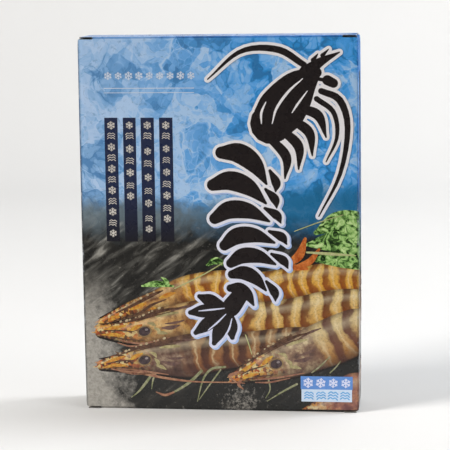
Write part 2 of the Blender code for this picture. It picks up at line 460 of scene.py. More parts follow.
def ice_and_slate_print():
    """Offset print on varnished folding board: cracked ice above, wet dark slate below.
    It wraps round every panel, as a bleed print does."""
    material, tree, shader = new_material("varnished_ice_and_slate_print")
    place = millimetres(tree)
    split = add_node(tree, "ShaderNodeSeparateXYZ", {0: place})
    x, z = split.outputs["X"], split.outputs["Z"]
    drift = add_node(tree, "ShaderNodeTexNoise", {"Vector": place, "Scale": 1 / 26,
                     "Detail": 3.0, "Roughness": 0.5})
    centred = add_node(tree, "ShaderNodeVectorMath", {0: drift.outputs["Color"],
                       1: (0.5, 0.5, 0.5)}, operation="SUBTRACT")
    pushed = add_node(tree, "ShaderNodeVectorMath", {0: centred.outputs["Vector"],
                      "Scale": 27.0}, operation="SCALE")
    warped = add_node(tree, "ShaderNodeVectorMath", {0: place, 1: pushed.outputs["Vector"]},
                      operation="ADD").outputs["Vector"]
    noise = {}
    for name, where, size, detail, roughness in (
            ("cloud", warped, 15, 8.0, 0.68), ("smudge", warped, 3.2, 5.0, 0.7),
            ("rough", place, 11, 7.0, 0.66), ("grit", place, 3, 6.0, 0.75)):
        noise[name] = add_node(tree, "ShaderNodeTexNoise", {"Vector": where, "Scale": 1 / size,
                               "Detail": detail, "Roughness": roughness}).outputs["Fac"]

    # Borders that wander with the noise: across the carton, up it, and along a slope
    border = {}
    for name, value, swing, base in (("side", noise["cloud"], 60.0, x),
                                     ("shore", noise["cloud"], 22.0, z),
                                     ("ragged", noise["rough"], 60.0, x)):
        border[name] = add_node(tree, "ShaderNodeMath", {0: value, 1: swing, 2: base},
                                operation="MULTIPLY_ADD").outputs[0]
    sloping = add_node(tree, "ShaderNodeMath", {0: z, 1: 0.14, 2: border["ragged"]},
                       operation="MULTIPLY_ADD").outputs[0]
    gap = add_node(tree, "ShaderNodeVectorMath", {0: place, 1: (14.0, -HALF_D, 4.0)},
                   operation="DISTANCE").outputs["Value"]
    share = {}
    for name, value, start, end, least, most, ease in (
            ("rightward", border["side"], -60.0, 60.0, 0.0, 1.0, "LINEAR"),
            ("caught", noise["smudge"], 0.55, 0.70, 0.0, 0.6, "LINEAR"),
            ("leftward", x, -85.0, 0.0, 0.05, -0.06, "LINEAR"),
            ("depth", z, 50.0, 92.0, -0.10, 0.0, "LINEAR"),
            ("dry", sloping, -44.0, -29.0, 1.0, 0.0, "LINEAR"),
            ("low", z, 62.0, 96.0, 1.0, 0.0, "LINEAR"),
            ("frost", gap, 4.0, 20.0, 0.16, 0.0, "LINEAR"),
            ("wet", border["shore"], 124.0, 146.0, 0.0, 1.0, "SMOOTHSTEP"),
            ("rise", x, 5.0, 70.0, -3.0, -13.0, "SMOOTHSTEP"),
            ("teal", border["side"], 5.0, 60.0, 0.0, 1.0, "LINEAR")):
        share[name] = add_node(tree, "ShaderNodeMapRange", {"Value": value, "From Min": start,
                               "From Max": end, "To Min": least, "To Max": most},
                               interpolation_type=ease).outputs["Result"]

    # Ice, shaded on the left and azure on the right, with fine dark smudges caught in it
    tone = ice_tone(tree, warped, noise["cloud"])
    shaded = add_node(tree, "ShaderNodeValToRGB", {"Fac": tone}, stops=SHADED_ICE)
    azure = add_node(tree, "ShaderNodeValToRGB", {"Fac": tone}, stops=AZURE_ICE)
    ice = add_node(tree, "ShaderNodeMix", {0: share["rightward"], A: shaded.outputs["Color"],
                   B: azure.outputs["Color"]}, data_type="RGBA")
    ice = add_node(tree, "ShaderNodeMix", {0: share["caught"], A: ice.outputs[MIXED],
                   B: "#4B7BA8"}, data_type="RGBA")

    # Slate, with paler grain that rises to the right
    turned = add_node(tree, "ShaderNodeMapping", {"Vector": place, "Rotation":
                      (0.0, math.radians(-36), 0.0), "Scale": (25.0, 25.0, 5.5)},
                      vector_type="TEXTURE")
    grain = add_node(tree, "ShaderNodeTexNoise", {"Vector": turned.outputs["Vector"],
                     "Scale": 1.0, "Detail": 5.0, "Roughness": 0.55, "Distortion": 0.35})
    lifted = grain.outputs["Fac"]
    for name in ("leftward", "depth"):
        lifted = add_node(tree, "ShaderNodeMath", {0: lifted, 1: share[name]},
                          operation="ADD").outputs[0]
    slate = add_node(tree, "ShaderNodeValToRGB", {"Fac": lifted}, stops=SLATE)

    # A paler, dry patch low on the left, and a frosted one at the foot of the middle
    dry = add_node(tree, "ShaderNodeMath", {0: share["dry"], 1: share["low"]},
                   operation="MULTIPLY")
    dust = add_node(tree, "ShaderNodeValToRGB", {"Fac": noise["grit"]}, stops=DRY_STONE)
    slate = add_node(tree, "ShaderNodeMix", {0: dry.outputs[0], A: slate.outputs["Color"],
                     B: dust.outputs["Color"]}, data_type="RGBA")
    frost = add_node(tree, "ShaderNodeMath", {0: share["frost"], 1: noise["grit"]},
                     operation="ADD")
    frosted = add_node(tree, "ShaderNodeMapRange", {"Value": frost.outputs[0],
                       "From Min": 0.60, "From Max": 0.76, "To Max": 0.75})
    slate = add_node(tree, "ShaderNodeMix", {0: frosted.outputs["Result"],
                     A: slate.outputs[MIXED], B: "#A9A49C"}, data_type="RGBA")

    # The shore between them: grey on the left, a teal hill on the right
    hill = add_node(tree, "ShaderNodeMath", {0: border["shore"], 1: share["rise"]},
                    operation="ADD")
    deep = add_node(tree, "ShaderNodeMapRange", {"Value": hill.outputs[0], "From Min": 141.0,
                    "From Max": 157.0, "To Min": 0.88, "To Max": 0.0},
                    interpolation_type="SMOOTHSTEP")
    water = add_node(tree, "ShaderNodeMix", {0: share["teal"], A: "#67706F", B: "#246A94"},
                     data_type="RGBA")
    ice = add_node(tree, "ShaderNodeMix", {0: deep.outputs["Result"], A: ice.outputs[MIXED],
                   B: water.outputs[MIXED]}, data_type="RGBA")
    whole = add_node(tree, "ShaderNodeMix", {0: share["wet"], A: slate.outputs[MIXED],
                     B: ice.outputs[MIXED]}, data_type="RGBA")
    varnish(tree, shader, place, whole.outputs[MIXED])
    return material


def board_inside():
    """Unprinted back of recycled board: matt, warm grey, with dark and pale fibres."""
    material, tree, shader = new_material("unprinted_greyboard")
    place = millimetres(tree)
    fibre = add_node(tree, "ShaderNodeTexNoise", {"Vector": place, "Scale": 1 / 0.8,
                     "Detail": 4.0})
    grey = add_node(tree, "ShaderNodeValToRGB", {"Fac": fibre.outputs["Fac"]}, stops=(
        (0.35, "#8F887C"), (0.6, "#B3AC9F"), (0.75, "#C4BEB3")))
    tree.links.new(grey.outputs["Color"], shader.inputs["Base Color"])
    shader.inputs["Roughness"].default_value = 0.85
    return material


def board_edge():
    """Die-cut edge of the board: matt pale core with a trace of blue print bruised over it.
    The ears' front edges are painted dark: painted shade of the gap under each ear."""
    material, tree, shader = new_material("die_cut_board_edge")
    place = millimetres(tree)
    split = add_node(tree, "ShaderNodeSeparateXYZ", {0: place})
    beside = add_node(tree, "ShaderNodeMath", {0: split.outputs["X"]}, operation="ABSOLUTE")
    on_ear = add_node(tree, "ShaderNodeMath", {0: beside.outputs[0],
                      1: HALF_W - EAR - EAR_CUT / 2}, operation="GREATER_THAN")
    ahead = add_node(tree, "ShaderNodeMath", {0: split.outputs["Y"], 1: 1.2 - HALF_D},
                     operation="LESS_THAN")
    # painted shade: the ears' front edges made dark, standing for the shaded gap under them
    painted_slit_shade = add_node(tree, "ShaderNodeMath", {0: on_ear.outputs[0], 1: ahead.outputs[0]},
                      operation="MULTIPLY")
    bruise = add_node(tree, "ShaderNodeTexNoise", {"Vector": place, "Scale": 1 / 2.5,
                      "Detail": 4.0, "Roughness": 0.7})
    pale = add_node(tree, "ShaderNodeValToRGB", {"Fac": bruise.outputs["Fac"]}, stops=(
        (0.38, "#6E7F94"), (0.52, "#B7B4AE"), (0.7, "#CFCBC3")))
    shown = add_node(tree, "ShaderNodeMix", {0: painted_slit_shade.outputs[0], A: pale.outputs["Color"],
                     B: "#2B2E33"}, data_type="RGBA")
    tree.links.new(shown.outputs[MIXED], shader.inputs["Base Color"])
    shader.inputs["Roughness"].default_value = 0.8
    return material


def plain_ink(name, colour, fade, mottle, low_colour=None, reach=None):
    """A solid press colour under varnish. The ink film is never quite even, so it drifts
    towards a second tone; it may also turn another colour down a reach of the height."""
    material, tree, shader = new_material(name)
    place = millimetres(tree)
    film = add_node(tree, "ShaderNodeTexNoise", {"Vector": place, "Scale": 1 / 3,
                    "Detail": 5.0, "Roughness": 0.65})
    amount = add_node(tree, "ShaderNodeMapRange", {"Value": film.outputs["Fac"],
                      "From Min": 0.35, "From Max": 0.7, "To Max": mottle})
    base = add_node(tree, "ShaderNodeMix", {0: amount.outputs["Result"], A: colour, B: fade},
                    data_type="RGBA")
    if low_colour:
        split = add_node(tree, "ShaderNodeSeparateXYZ", {0: place})
        down = add_node(tree, "ShaderNodeMapRange", {"Value": split.outputs["Z"],
                        "From Min": reach[0], "From Max": reach[1], "To Min": 1.0,
                        "To Max": 0.0})
        base = add_node(tree, "ShaderNodeMix", {0: down.outputs["Result"],
                        A: base.outputs[MIXED], B: low_colour}, data_type="RGBA")
    varnish(tree, shader, place, base.outputs[MIXED])
    return material


# ---------------------------------------------------------------- print shapes
INK_FILM = 0.02            # thickness given to a print shape
PRINT_ENDS = (FOLD_START, HEIGHT - FOLD_START)
THINNEST = 0.05            # least half width of a stroke
POINTED = 0.2              # a stroke's end this thin gets no round cap
SLIVER = 0.002             # edges shorter than this are closed up
NEAR_CUT = 1e-4            # points this near a cutting line count as on it
NEAR_END = 0.01            # and this near the ends of the board, as inside them


def curve_through(points, count):
    """count + 1 points on a smooth curve through the given ones (Catmull-Rom)."""
    ends = [2 * Vector(points[0]) - Vector(points[1]), *map(Vector, points),
            2 * Vector(points[-1]) - Vector(points[-2])]
    spans = len(points) - 1
    found = []
    for k in range(count + 1):
        place = spans * k / count
        span = min(int(place), spans - 1)
        t = place - span
        p0, p1, p2, p3 = ends[span:span + 4]
        found.append(0.5 * (2 * p1 + (p2 - p0) * t + (2 * p0 - 5 * p1 + 4 * p2 - p3) * t * t
                            + (3 * p1 - p0 - 3 * p2 + p3) * t * t * t))
    return found


def widths_through(widths, count):
    """The same for a stroke's half widths, kept above nothing."""
    line = curve_through([(w, 0.0) for w in widths], count)
    return [max(THINNEST, point.x) for point in line]


def disc(centre, radius, sides=14, stretch=1.0, turn=0.0):
    """A round or stretched spot."""
    found = []
    for k in range(sides):
        angle = 2 * math.pi * k / sides
        x, y = radius * stretch * math.cos(angle), radius * math.sin(angle)
        found.append((centre[0] + x * math.cos(turn) - y * math.sin(turn),
                      centre[1] + x * math.sin(turn) + y * math.cos(turn)))
    return found


def rectangle(left, right, bottom, top):
    return [(left, bottom), (right, bottom), (right, top), (left, top)]


def brush(points, widths, count=16, edge=0.0):
    """A stroke of changing width, as small four-sided pieces with rounded ends. edge makes
    it wider all round."""
    line = curve_through(points, count)
    halves = [w + edge for w in widths_through(widths, count)]
    sides = []
    for k, point in enumerate(line):
        way = (line[min(k + 1, count)] - line[max(k - 1, 0)]).normalized()
        across = Vector((-way.y, way.x)) * halves[k]
        sides.append((point - across, point + across))
    pieces = [[tuple(a[0]), tuple(b[0]), tuple(b[1]), tuple(a[1])]
              for a, b in zip(sides, sides[1:])]
    for end in (0, count):
        if halves[end] > POINTED:
            pieces.append(disc(line[end], halves[end]))
    return pieces


def anticlockwise(outline):
    area = sum(a[0] * b[1] - b[0] * a[1] for a, b in zip(outline, outline[1:] + outline[:1]))
    return outline if area > 0 else outline[::-1]


def grid_lines(low, high, cell, extra=()):
    inner = [low + cell * k for k in range(1, int((high - low) / cell) + 1)]
    return sorted({round(v, 4) for v in [*inner, *extra] if low < v < high})


def cut_to_cells(outlines, cell, ends=()):
    """The union of flat outlines, cut into cells small enough to follow the board. What
    passes the two ends, where the board stops, is cut off."""
    outlines = [anticlockwise([tuple(p) for p in outline]) for outline in outlines]
    points, faces, edges = [], [], []
    for outline in outlines:
        faces.append(list(range(len(points), len(points) + len(outline))))
        points += [Vector(p) for p in outline]
    left, right = min(p.x for p in points), max(p.x for p in points)
    bottom, top = min(p.y for p in points), max(p.y for p in points)
    creases = [c for start, *_ in PANELS for c in crease_steps(start)]
    for x in grid_lines(left, right, cell, creases):
        edges.append((len(points), len(points) + 1))
        points += [Vector((x, bottom - 1)), Vector((x, top + 1))]
    for y in grid_lines(bottom, top, cell, ends):
        edges.append((len(points), len(points) + 1))
        points += [Vector((left - 1, y)), Vector((right + 1, y))]
    flat, _, cells, _, _, owners = delaunay_2d_cdt(points, edges, faces, 0, NEAR_CUT)
    kept = [cell for cell, owner in zip(cells, owners) if owner]
    if ends:
        kept = [cell for cell in kept
                if all(ends[0] - NEAR_END < flat[k].y < ends[1] + NEAR_END for k in cell)]
    return flat, kept


def drop_loose_points(mesh):
    bmesh.ops.delete(mesh, geom=[v for v in mesh.verts if not v.link_faces], context="VERTS")


def ink_film(name, mesh, materials):
    """A flat shape, given the ink's little thickness, on its board side."""
    shape = finished(name, mesh, materials)
    film = shape.modifiers.new("ink film", "SOLIDIFY")
    film.thickness = INK_FILM * MM
    film.offset = -1.0
    return applied(shape)


def print_shape(name, outlines, material, lift, spine=None):
    """One colour of the print: outlines in millimetres round the girth and up, laid on the
    board at a small lift. spine gives it a map of how far along and across a body it is."""
    flat, cells = cut_to_cells(outlines, CELL, PRINT_ENDS)
    mesh = bmesh.new()
    top = [mesh.verts.new(round_the_girth(p.x, p.y, lift)) for p in flat]
    uv_layer = mesh.loops.layers.uv.new("along_body") if spine else None
    for corners in cells:
        face = mesh.faces.new([top[k] for k in corners])
        if spine:
            for loop, k in zip(face.loops, corners):
                loop[uv_layer].uv = along_and_across(flat[k], *spine)
    drop_loose_points(mesh)
    bmesh.ops.dissolve_degenerate(mesh, edges=mesh.edges[:], dist=SLIVER * MM)
    bmesh.ops.triangulate(mesh, faces=mesh.faces[:])
    return ink_film(name, mesh, [material])


def along_and_across(point, line, halves):
    """How far along a curved body a point is, in units of 10 mm, and how far across, from -1
    at its belly to 1 at its back."""
    best = min(range(len(line)), key=lambda k: (line[k] - point).length_squared)
    a, b = line[max(best - 1, 0)], line[min(best + 1, len(line) - 1)]
    way = (b - a).normalized()
    run = sum((q - p).length for p, q in zip(line[:best], line[1:best + 1]))
    offset = point - line[best]
    across = (way.x * offset.y - way.y * offset.x) / max(halves[best], 0.5)
    return Vector(((run + way.dot(offset)) / 10, across))


# ---------------------------------------------------------------- the brush-painted prawn
BRUSH_SPINE = ((146, 214), (130, 198), (116, 180), (107, 160), (105, 138), (110, 117),
               (113, 98), (107, 80), (98, 68))
PLATES = (  # of each shell plate: place along the spine, reach and thickness
    (0.31, 19.0, 6.6), (0.415, 19.5, 6.4), (0.515, 19.0, 6.0), (0.61, 17.5, 5.6),
    (0.70, 15.5, 5.2), (0.785, 13.0, 4.7), (0.865, 10.0, 4.2))
SPINE_STEPS = 80
LEGLESS = 0.8              # no swimming legs from here on
WALKING_LEGS = (((146, 203), (158, 198), (163, 184)), ((140, 196), (152, 187), (154, 172)),
                ((134, 189), (145, 178), (145, 163)), ((127, 183), (137, 171), (136, 157)))
FAN_ROOT = (98, 70)
FAN = ((158, 21), (187, 26), (217, 28), (247, 26), (276, 20))      # way and length of each


def brush_prawn():
    """Strokes of a prawn painted with a broad brush, head at the top right, as points and
    half widths. It stands where the pack's name would be."""
    strokes = [
        ([(157, 226), (146, 217), (135, 203), (127, 193)], [3.5, 11.5, 15.5, 13.5]),
        ([(150, 226), (160, 233), (172, 239)], [4.5, 2.8, 0.4]),               # spike
        ([(155, 234), (158, 238)], [1.6, 0.3]),                                # its teeth
        ([(161, 237), (165, 241)], [1.4, 0.3]),
        ([(164, 221), (168, 219)], [3.3, 3.0]),                                # eye
        ([(157, 222), (163, 221)], [1.2, 1.2]),
        ([(149, 231), (132, 241), (108, 240), (86, 222)], [2.0, 2.2, 1.5, 0.4]),
        ([(160, 214), (172, 208), (177, 190), (172, 160), (158, 132)],
         [2.0, 2.3, 1.9, 1.3, 0.4]),
        ([(157, 209), (168, 200), (170, 184), (163, 168)], [1.8, 1.6, 1.2, 0.4]),
    ]
    line = curve_through(BRUSH_SPINE, SPINE_STEPS)
    for place, reach, thick in PLATES:
        k = round(place * SPINE_STEPS)
        way = (line[min(k + 2, SPINE_STEPS)] - line[k - 2]).normalized()
        back = Vector((way.y, -way.x))
        bow = way * reach * 0.26
        # a shell plate, thick on the back and drawn out to a point at the belly
        strokes.append(([line[k] + back * reach * 0.86 + bow * 0.7,
                         line[k] + back * reach * 0.30 - bow * 0.2,
                         line[k] - back * reach * 0.35 + bow * 0.3,
                         line[k] - back * reach + bow * 2.0],
                        [thick * 0.62, thick, thick * 0.86, 0.8]))
        if place < LEGLESS:
            root = line[k] - back * (reach * 0.92) + way * 1.0
            tip = root - back * 9.0 + way * 11.0
            strokes.append(([root, (root + tip) / 2 - back * 2.4, tip], [1.0, 3.0, 0.5]))
    strokes += [(list(leg), [2.6, 3.2, 0.5]) for leg in WALKING_LEGS]
    root = Vector(FAN_ROOT)
    for angle, length in FAN:
        way = Vector((math.cos(math.radians(angle)), math.sin(math.radians(angle))))
        strokes.append(([root + way * 2, root + way * length * 0.62, root + way * length],
                        [1.8, 4.5, 1.6]))
    strokes.append(([(105, 78), (99, 70), (95, 66)], [5.5, 6.0, 3.0]))
    return strokes


# pale lines drawn inside the black
SIGN_LINES = (
    ([(148, 222), (139, 214), (131, 203), (128, 193)], [0.3, 0.8, 0.8, 0.3]),
    ([(151, 214), (145, 206), (141, 200)], [0.3, 0.7, 0.3]),
    ([(124, 207), (121, 200), (121, 193)], [0.3, 0.8, 0.3]),
    ([(96, 66), (90, 60), (84, 55)], [0.3, 0.6, 0.3]),
    ([(95, 70), (87, 69), (78, 68)], [0.3, 0.6, 0.3]),
    ([(100, 63), (98, 56), (94, 49)], [0.3, 0.6, 0.3]),
)


def placed(strokes, scale, shift):
    """The same strokes, scaled and moved."""
    return [([Vector(p) * scale + Vector(shift) for p in points],
             [w * scale for w in widths]) for points, widths in strokes]


def brush_shapes(strokes, edge=0.0):
    return [piece for stroke in strokes for piece in brush(*stroke, edge=edge)]


# ---------------------------------------------------------------- printed prawns and greens
def shell_print(name, back, belly, band_back, band_belly, period, head_dark, head_mid,
                head_pale):
    """Printed prawn shell: a banded tail, a mottled head and a speckled tip, shaded round by
    a dark belly line and a pale ridge. It reads the map of the body made with the shape."""
    material, tree, shader = new_material(name)
    place = millimetres(tree)
    body = add_node(tree, "ShaderNodeUVMap", uv_map="along_body")
    split = add_node(tree, "ShaderNodeSeparateXYZ", {0: body.outputs["UV"]})
    along, across = split.outputs["X"], split.outputs["Y"]
    mottle = add_node(tree, "ShaderNodeTexNoise", {"Vector": place, "Scale": 1 / 7,
                      "Detail": 5.0, "Roughness": 0.6})
    curl = add_node(tree, "ShaderNodeMath", {0: across, 1: across}, operation="MULTIPLY")
    bent = add_node(tree, "ShaderNodeMath", {0: curl.outputs[0], 1: -0.30, 2: along},
                    operation="MULTIPLY_ADD")
    sway = add_node(tree, "ShaderNodeTexNoise", {"Vector": place, "Scale": 1 / 17})
    bent = add_node(tree, "ShaderNodeMath", {0: sway.outputs["Fac"], 1: 1.5,
                    2: bent.outputs[0]}, operation="MULTIPLY_ADD")
    bent = add_node(tree, "ShaderNodeMath", {0: mottle.outputs["Fac"], 1: 0.6,
                    2: bent.outputs[0]}, operation="MULTIPLY_ADD")
    turns = add_node(tree, "ShaderNodeMath", {0: bent.outputs[0], 1: 1 / period},
                     operation="MULTIPLY")
    phase = add_node(tree, "ShaderNodeMath", {0: turns.outputs[0]}, operation="FRACT")
    band = add_node(tree, "ShaderNodeValToRGB", {"Fac": phase.outputs[0]}, stops=(
        (0.22, "#000000"), (0.36, "#FFFFFF"), (0.68, "#F0F0F0"), (0.80, "#404040"),
        (0.88, "#000000")))
    height = add_node(tree, "ShaderNodeMapRange", {"Value": across, "From Min": -0.7,
                      "From Max": 0.6})
    ground = add_node(tree, "ShaderNodeMix", {0: height.outputs["Result"], A: belly, B: back},
                      data_type="RGBA")
    dark = add_node(tree, "ShaderNodeMix", {0: height.outputs["Result"], A: band_belly,
                    B: band_back}, data_type="RGBA")
    tail = add_node(tree, "ShaderNodeMix", {0: band.outputs["Color"],
                    A: ground.outputs[MIXED], B: dark.outputs[MIXED]}, data_type="RGBA")
    rim = add_node(tree, "ShaderNodeValToRGB", {"Fac": phase.outputs[0]}, stops=(
        (0.0, "#909090"), (0.08, "#000000"), (0.86, "#000000"), (0.96, "#B0B0B0")))
    tail = add_node(tree, "ShaderNodeMix", {0: rim.outputs["Color"], A: tail.outputs[MIXED],
                    B: "#EBD9AE"}, data_type="RGBA")

    # The head: tan and grey-purple clouds
    head = add_node(tree, "ShaderNodeValToRGB", {"Fac": mottle.outputs["Fac"]}, stops=(
        (0.34, head_dark), (0.50, head_mid), (0.66, head_pale)))
    is_tail = add_node(tree, "ShaderNodeMapRange", {"Value": along, "From Min": 5.2,
                       "From Max": 6.4})
    skin = add_node(tree, "ShaderNodeMix", {0: is_tail.outputs["Result"],
                    A: head.outputs["Color"], B: tail.outputs[MIXED]}, data_type="RGBA")

    # The tip: orange and yellow specks between dark spines
    speck = add_node(tree, "ShaderNodeTexVoronoi", {"Vector": place, "Scale": 1 / 1.9})
    speck_tone = add_node(tree, "ShaderNodeSeparateColor", {0: speck.outputs["Color"]})
    tip = add_node(tree, "ShaderNodeValToRGB", {"Fac": speck_tone.outputs[0]}, stops=(
        (0.18, "#4E3024"), (0.34, "#A64E2C"), (0.5, "#C97636"), (0.68, "#D9A548"),
        (0.88, "#DACB96")))
    is_tip = add_node(tree, "ShaderNodeMapRange", {"Value": along, "From Min": 1.6,
                      "From Max": 3.6, "To Min": 0.9, "To Max": 0.0})
    skin = add_node(tree, "ShaderNodeMix", {0: is_tip.outputs["Result"],
                    A: skin.outputs[MIXED], B: tip.outputs["Color"]}, data_type="RGBA")

    # Fine speckle, a pale ridge, a dark belly, and the shade that the body throws
    grain = add_node(tree, "ShaderNodeTexNoise", {"Vector": place, "Scale": 1 / 1.4,
                     "Detail": 4.0, "Roughness": 0.7})
    speckle = add_node(tree, "ShaderNodeMapRange", {"Value": grain.outputs["Fac"],
                       "From Min": 0.50, "From Max": 0.68, "To Max": 0.5})
    skin = add_node(tree, "ShaderNodeMix", {0: speckle.outputs["Result"],
                    A: skin.outputs[MIXED], B: "#5B4436"}, data_type="RGBA")
    share = add_node(tree, "ShaderNodeMapRange", {"Value": across, "From Min": -1.0,
                     "From Max": 1.0})
    ridge = add_node(tree, "ShaderNodeValToRGB", {"Fac": share.outputs["Result"]}, stops=(
        (0.60, "#000000"), (0.77, "#C0C0C0"), (0.88, "#000000")))
    lit = add_node(tree, "ShaderNodeMath", {0: ridge.outputs["Color"],
                   1: mottle.outputs["Fac"]}, operation="MULTIPLY")
    skin = add_node(tree, "ShaderNodeMix", {0: lit.outputs[0], A: skin.outputs[MIXED],
                    B: "#F4E6C2"}, data_type="RGBA")
    for start, end, least, most, colour in (
            (-0.98, -0.35, 0.78, 0.0, "#3F2A26"), (0.80, 1.0, 0.0, 0.55, "#4A3128"),
            (-1.06, -0.98, 1.0, 0.0, "#201A18"), (1.0, 1.06, 0.0, 1.0, "#2A211D")):
        edge = add_node(tree, "ShaderNodeMapRange", {"Value": across, "From Min": start,
                        "From Max": end, "To Min": least, "To Max": most})
        skin = add_node(tree, "ShaderNodeMix", {0: edge.outputs["Result"],
                        A: skin.outputs[MIXED], B: colour}, data_type="RGBA")
    varnish(tree, shader, place, skin.outputs[MIXED])
    return material


def leaf_print():
    """Printed salad leaves: bright yellow-green with dark, crinkled folds."""
    material, tree, shader = new_material("varnished_green_leaf_print")
    place = millimetres(tree)
    crinkle = add_node(tree, "ShaderNodeTexNoise", {"Vector": place, "Scale": 1 / 5,
                       "Detail": 5.0, "Roughness": 0.6, "Distortion": 1.4})
    green = add_node(tree, "ShaderNodeValToRGB", {"Fac": crinkle.outputs["Fac"]}, stops=(
        (0.39, "#1C2C17"), (0.46, "#557C3E"), (0.53, "#94C06C"), (0.66, "#C8E09E")))
    varnish(tree, shader, place, green.outputs["Color"])
    return material


# spine and half widths of each prawn, head first, from the one behind to the one in front
FRONT_PRAWNS = (
    ("far", [(13, 60), (32, 69), (50, 75), (70, 82), (94, 85), (118, 84), (144, 87),
             (168, 90), (188, 89), (202, 85)],
     [2.5, 4.5, 6.5, 9.5, 10.5, 10.5, 11, 11, 8.5, 3.5]),
    ("upper", [(12, 53.5), (30, 53), (43, 55), (58, 60), (80, 64), (100, 64.5), (120, 62.5),
               (145, 65.5), (167, 71), (188, 74), (203, 71)],
     [3.8, 7.6, 9.2, 10.4, 11.5, 12, 12, 12.5, 12, 9, 3.5]),
    ("low", [(12, 30.5), (30, 33), (42, 35), (57, 36), (70, 37.5), (84, 40), (98, 41.5),
             (118, 43.5), (138, 47), (156, 50)],
     [3.2, 6.8, 9.4, 12.4, 14.4, 13.2, 12, 11.5, 10.5, 8]),
    ("right", [(136, -9), (152, -4), (168, 4), (184, 14), (202, 22)], [4, 8, 10, 14, 3.5]),
    ("near", [(102, 23), (113, 27.5), (123, 31.5), (137, 36.5), (158, 45), (174, 52),
              (186, 57.5), (198, 62), (206, 64)],
     [3.5, 6.8, 9.5, 13, 15, 15.5, 14, 8, 3.5]),
)
BACK_PRAWNS = (
    ("upper", [(16, 59), (32, 61), (52, 65), (74, 66), (98, 62), (122, 57), (143, 56),
               (158, 59)], [4.4, 8.4, 11, 12, 11.5, 10, 7.5, 4]),
    ("low", [(24, 29), (40, 31), (60, 35), (82, 36), (106, 32), (128, 25), (145, 22)],
     [3.2, 7.5, 11, 12, 10.5, 8, 4]),
)
SHELLS = {  # back, belly, band on the back, band on the belly, length of a band in cm, and
    # the head's dark, middle and pale tones
    "far": ("#D9AE58", "#E0A23C", "#855228", "#964E22", 1.0, "#6E4C38", "#B88A54", "#DFC080"),
    "upper": ("#DDC182", "#D09C46", "#603C2A", "#824420", 1.3, "#7E5A3C", "#C89C64", "#E4C68C"),
    "low": ("#977450", "#8F5A34", "#3E2E2A", "#573328", 1.25, "#443430", "#6B5146", "#A08A74"),
    "right": ("#C4906A", "#85586A", "#8A5548", "#5E3C4A", 1.2, "#6E4444", "#9A6858", "#C49468"),
    "near": ("#CFB884", "#B07C42", "#6A4C44", "#6E4232", 1.45, "#5E4A42", "#907460", "#D2BE96"),
}

# Marks on each head, in body measures: millimetres from the tip, and -1 to 1 across.
# First an ink: its colour, a second tone, and its lift. Then its strokes.
HEAD_MARKS = {
    "plum_patches": ("#5C4644", "#7C6054", 0.18, (
        ([(41, -0.24), (47, -0.36), (53, -0.32)], [0.6, 1.5, 0.5]),
        ([(44, -0.02), (50, -0.10), (57, -0.06)], [0.3, 0.9, 0.3]),
        ([(50, 0.7), (58, 0.74), (66, 0.7)], [0.3, 0.9, 0.3]))),
    "olive_patches": ("#BDB184", "#8A8058", 0.18, (
        ([(33, 0.42), (36, 0.25), (37, 0.05)], [0.5, 1.2, 0.5]),
        ([(36, -0.05), (38, -0.3), (37, -0.5)], [0.5, 1.3, 0.4]),
        ([(37, -0.5), (40, -0.55), (43, -0.7)], [0.5, 1.2, 0.4]),
        ([(40, 0.62), (47, 0.60), (54, 0.5)], [0.4, 1.3, 0.5]))),
    "feelers": ("#7E5246", "#A87E62", 0.21, (
        ([(12, -0.97), (26, -1.02), (44, -0.98)], [0.4, 0.7, 0.3]),
        ([(11, -1.3), (20, -1.3), (34, -1.06)], [0.3, 0.6, 0.3]))),
    "yellow_scales": ("#D3AC48", "#B5632C", 0.21, (
        ([(2, 0.3), (8, 0.5), (16, 0.6)], [0.3, 1.3, 0.6]),
        ([(0, -0.7), (8, -0.4), (15, -0.45)], [0.3, 1.3, 0.5]),
        ([(19, 0.1), (23, 0.3), (28, 0.42)], [0.4, 1.5, 0.6]))),
    "brown_lines": ("#46322A", "#6B4E3E", 0.24, (
        ([(10, 1.0), (26, 0.98), (46, 0.86), (58, 0.74)], [0.5, 1.2, 1.0, 0.3]),
        ([(24, 0.78), (38, 0.76), (52, 0.64)], [0.2, 0.35, 0.2]),
        ([(3, 0.05), (12, 0.15), (22, 0.0)], [0.2, 0.5, 0.2]),
        ([(8, -0.75), (17, -0.72), (27, -0.78)], [0.2, 0.45, 0.2]))),
}
TAIL_LEAVES = ((-46, 13.5), (-17, 17.0), (10, 17.0), (38, 13.5))   # turn and length of each
TIP_SPINES = (
    ([(-5, 0.55), (3, 0.5), (12, 0.4)], [0.2, 1.2, 2.0]),
    ([(-7, -0.35), (2, -0.35), (12, -0.3)], [0.2, 1.2, 2.2]),
    ([(-2, 1.25), (5, 1.05), (14, 0.7)], [0.2, 0.9, 1.8]),
    ([(-3, -1.15), (5, -1.0), (14, -0.8)], [0.2, 0.9, 1.8]),
)
EYE = (29, -0.1)
SPIKE_TIP, SPIKE_ROOT, SPIKE_DEPTH = (5, 1.3), (46, 0.98), 2.6
FIRST_TOOTH, TEETH, TOOTH_PITCH = 13, 9, 3.8
WITH_HEADS = ("upper", "low", "near")
BODY_STEPS = 60
FAN_END = 4                # a body whose last half width is no more than this ends in a fan
FEATURES = {"spikes": 0.21, "teeth": 0.27, "eye_rings": 0.21, "eyes": 0.24,
            "eye_gleams": 0.27}                                    # and the lift of each


def on_body(line, halves, along, across):
    """The place on a body, from its measures."""
    left = along
    for k, (a, b) in enumerate(zip(line, line[1:])):
        step = (b - a).length
        if left <= step:
            break
        left -= step
    way = (b - a).normalized()
    half = max(halves[k], 2.0)
    return a + way * left + Vector((-way.y, way.x)) * across * half


def marks_on_body(body, marks):
    return [([on_body(*body, *point) for point in points], widths)
            for points, widths in marks]


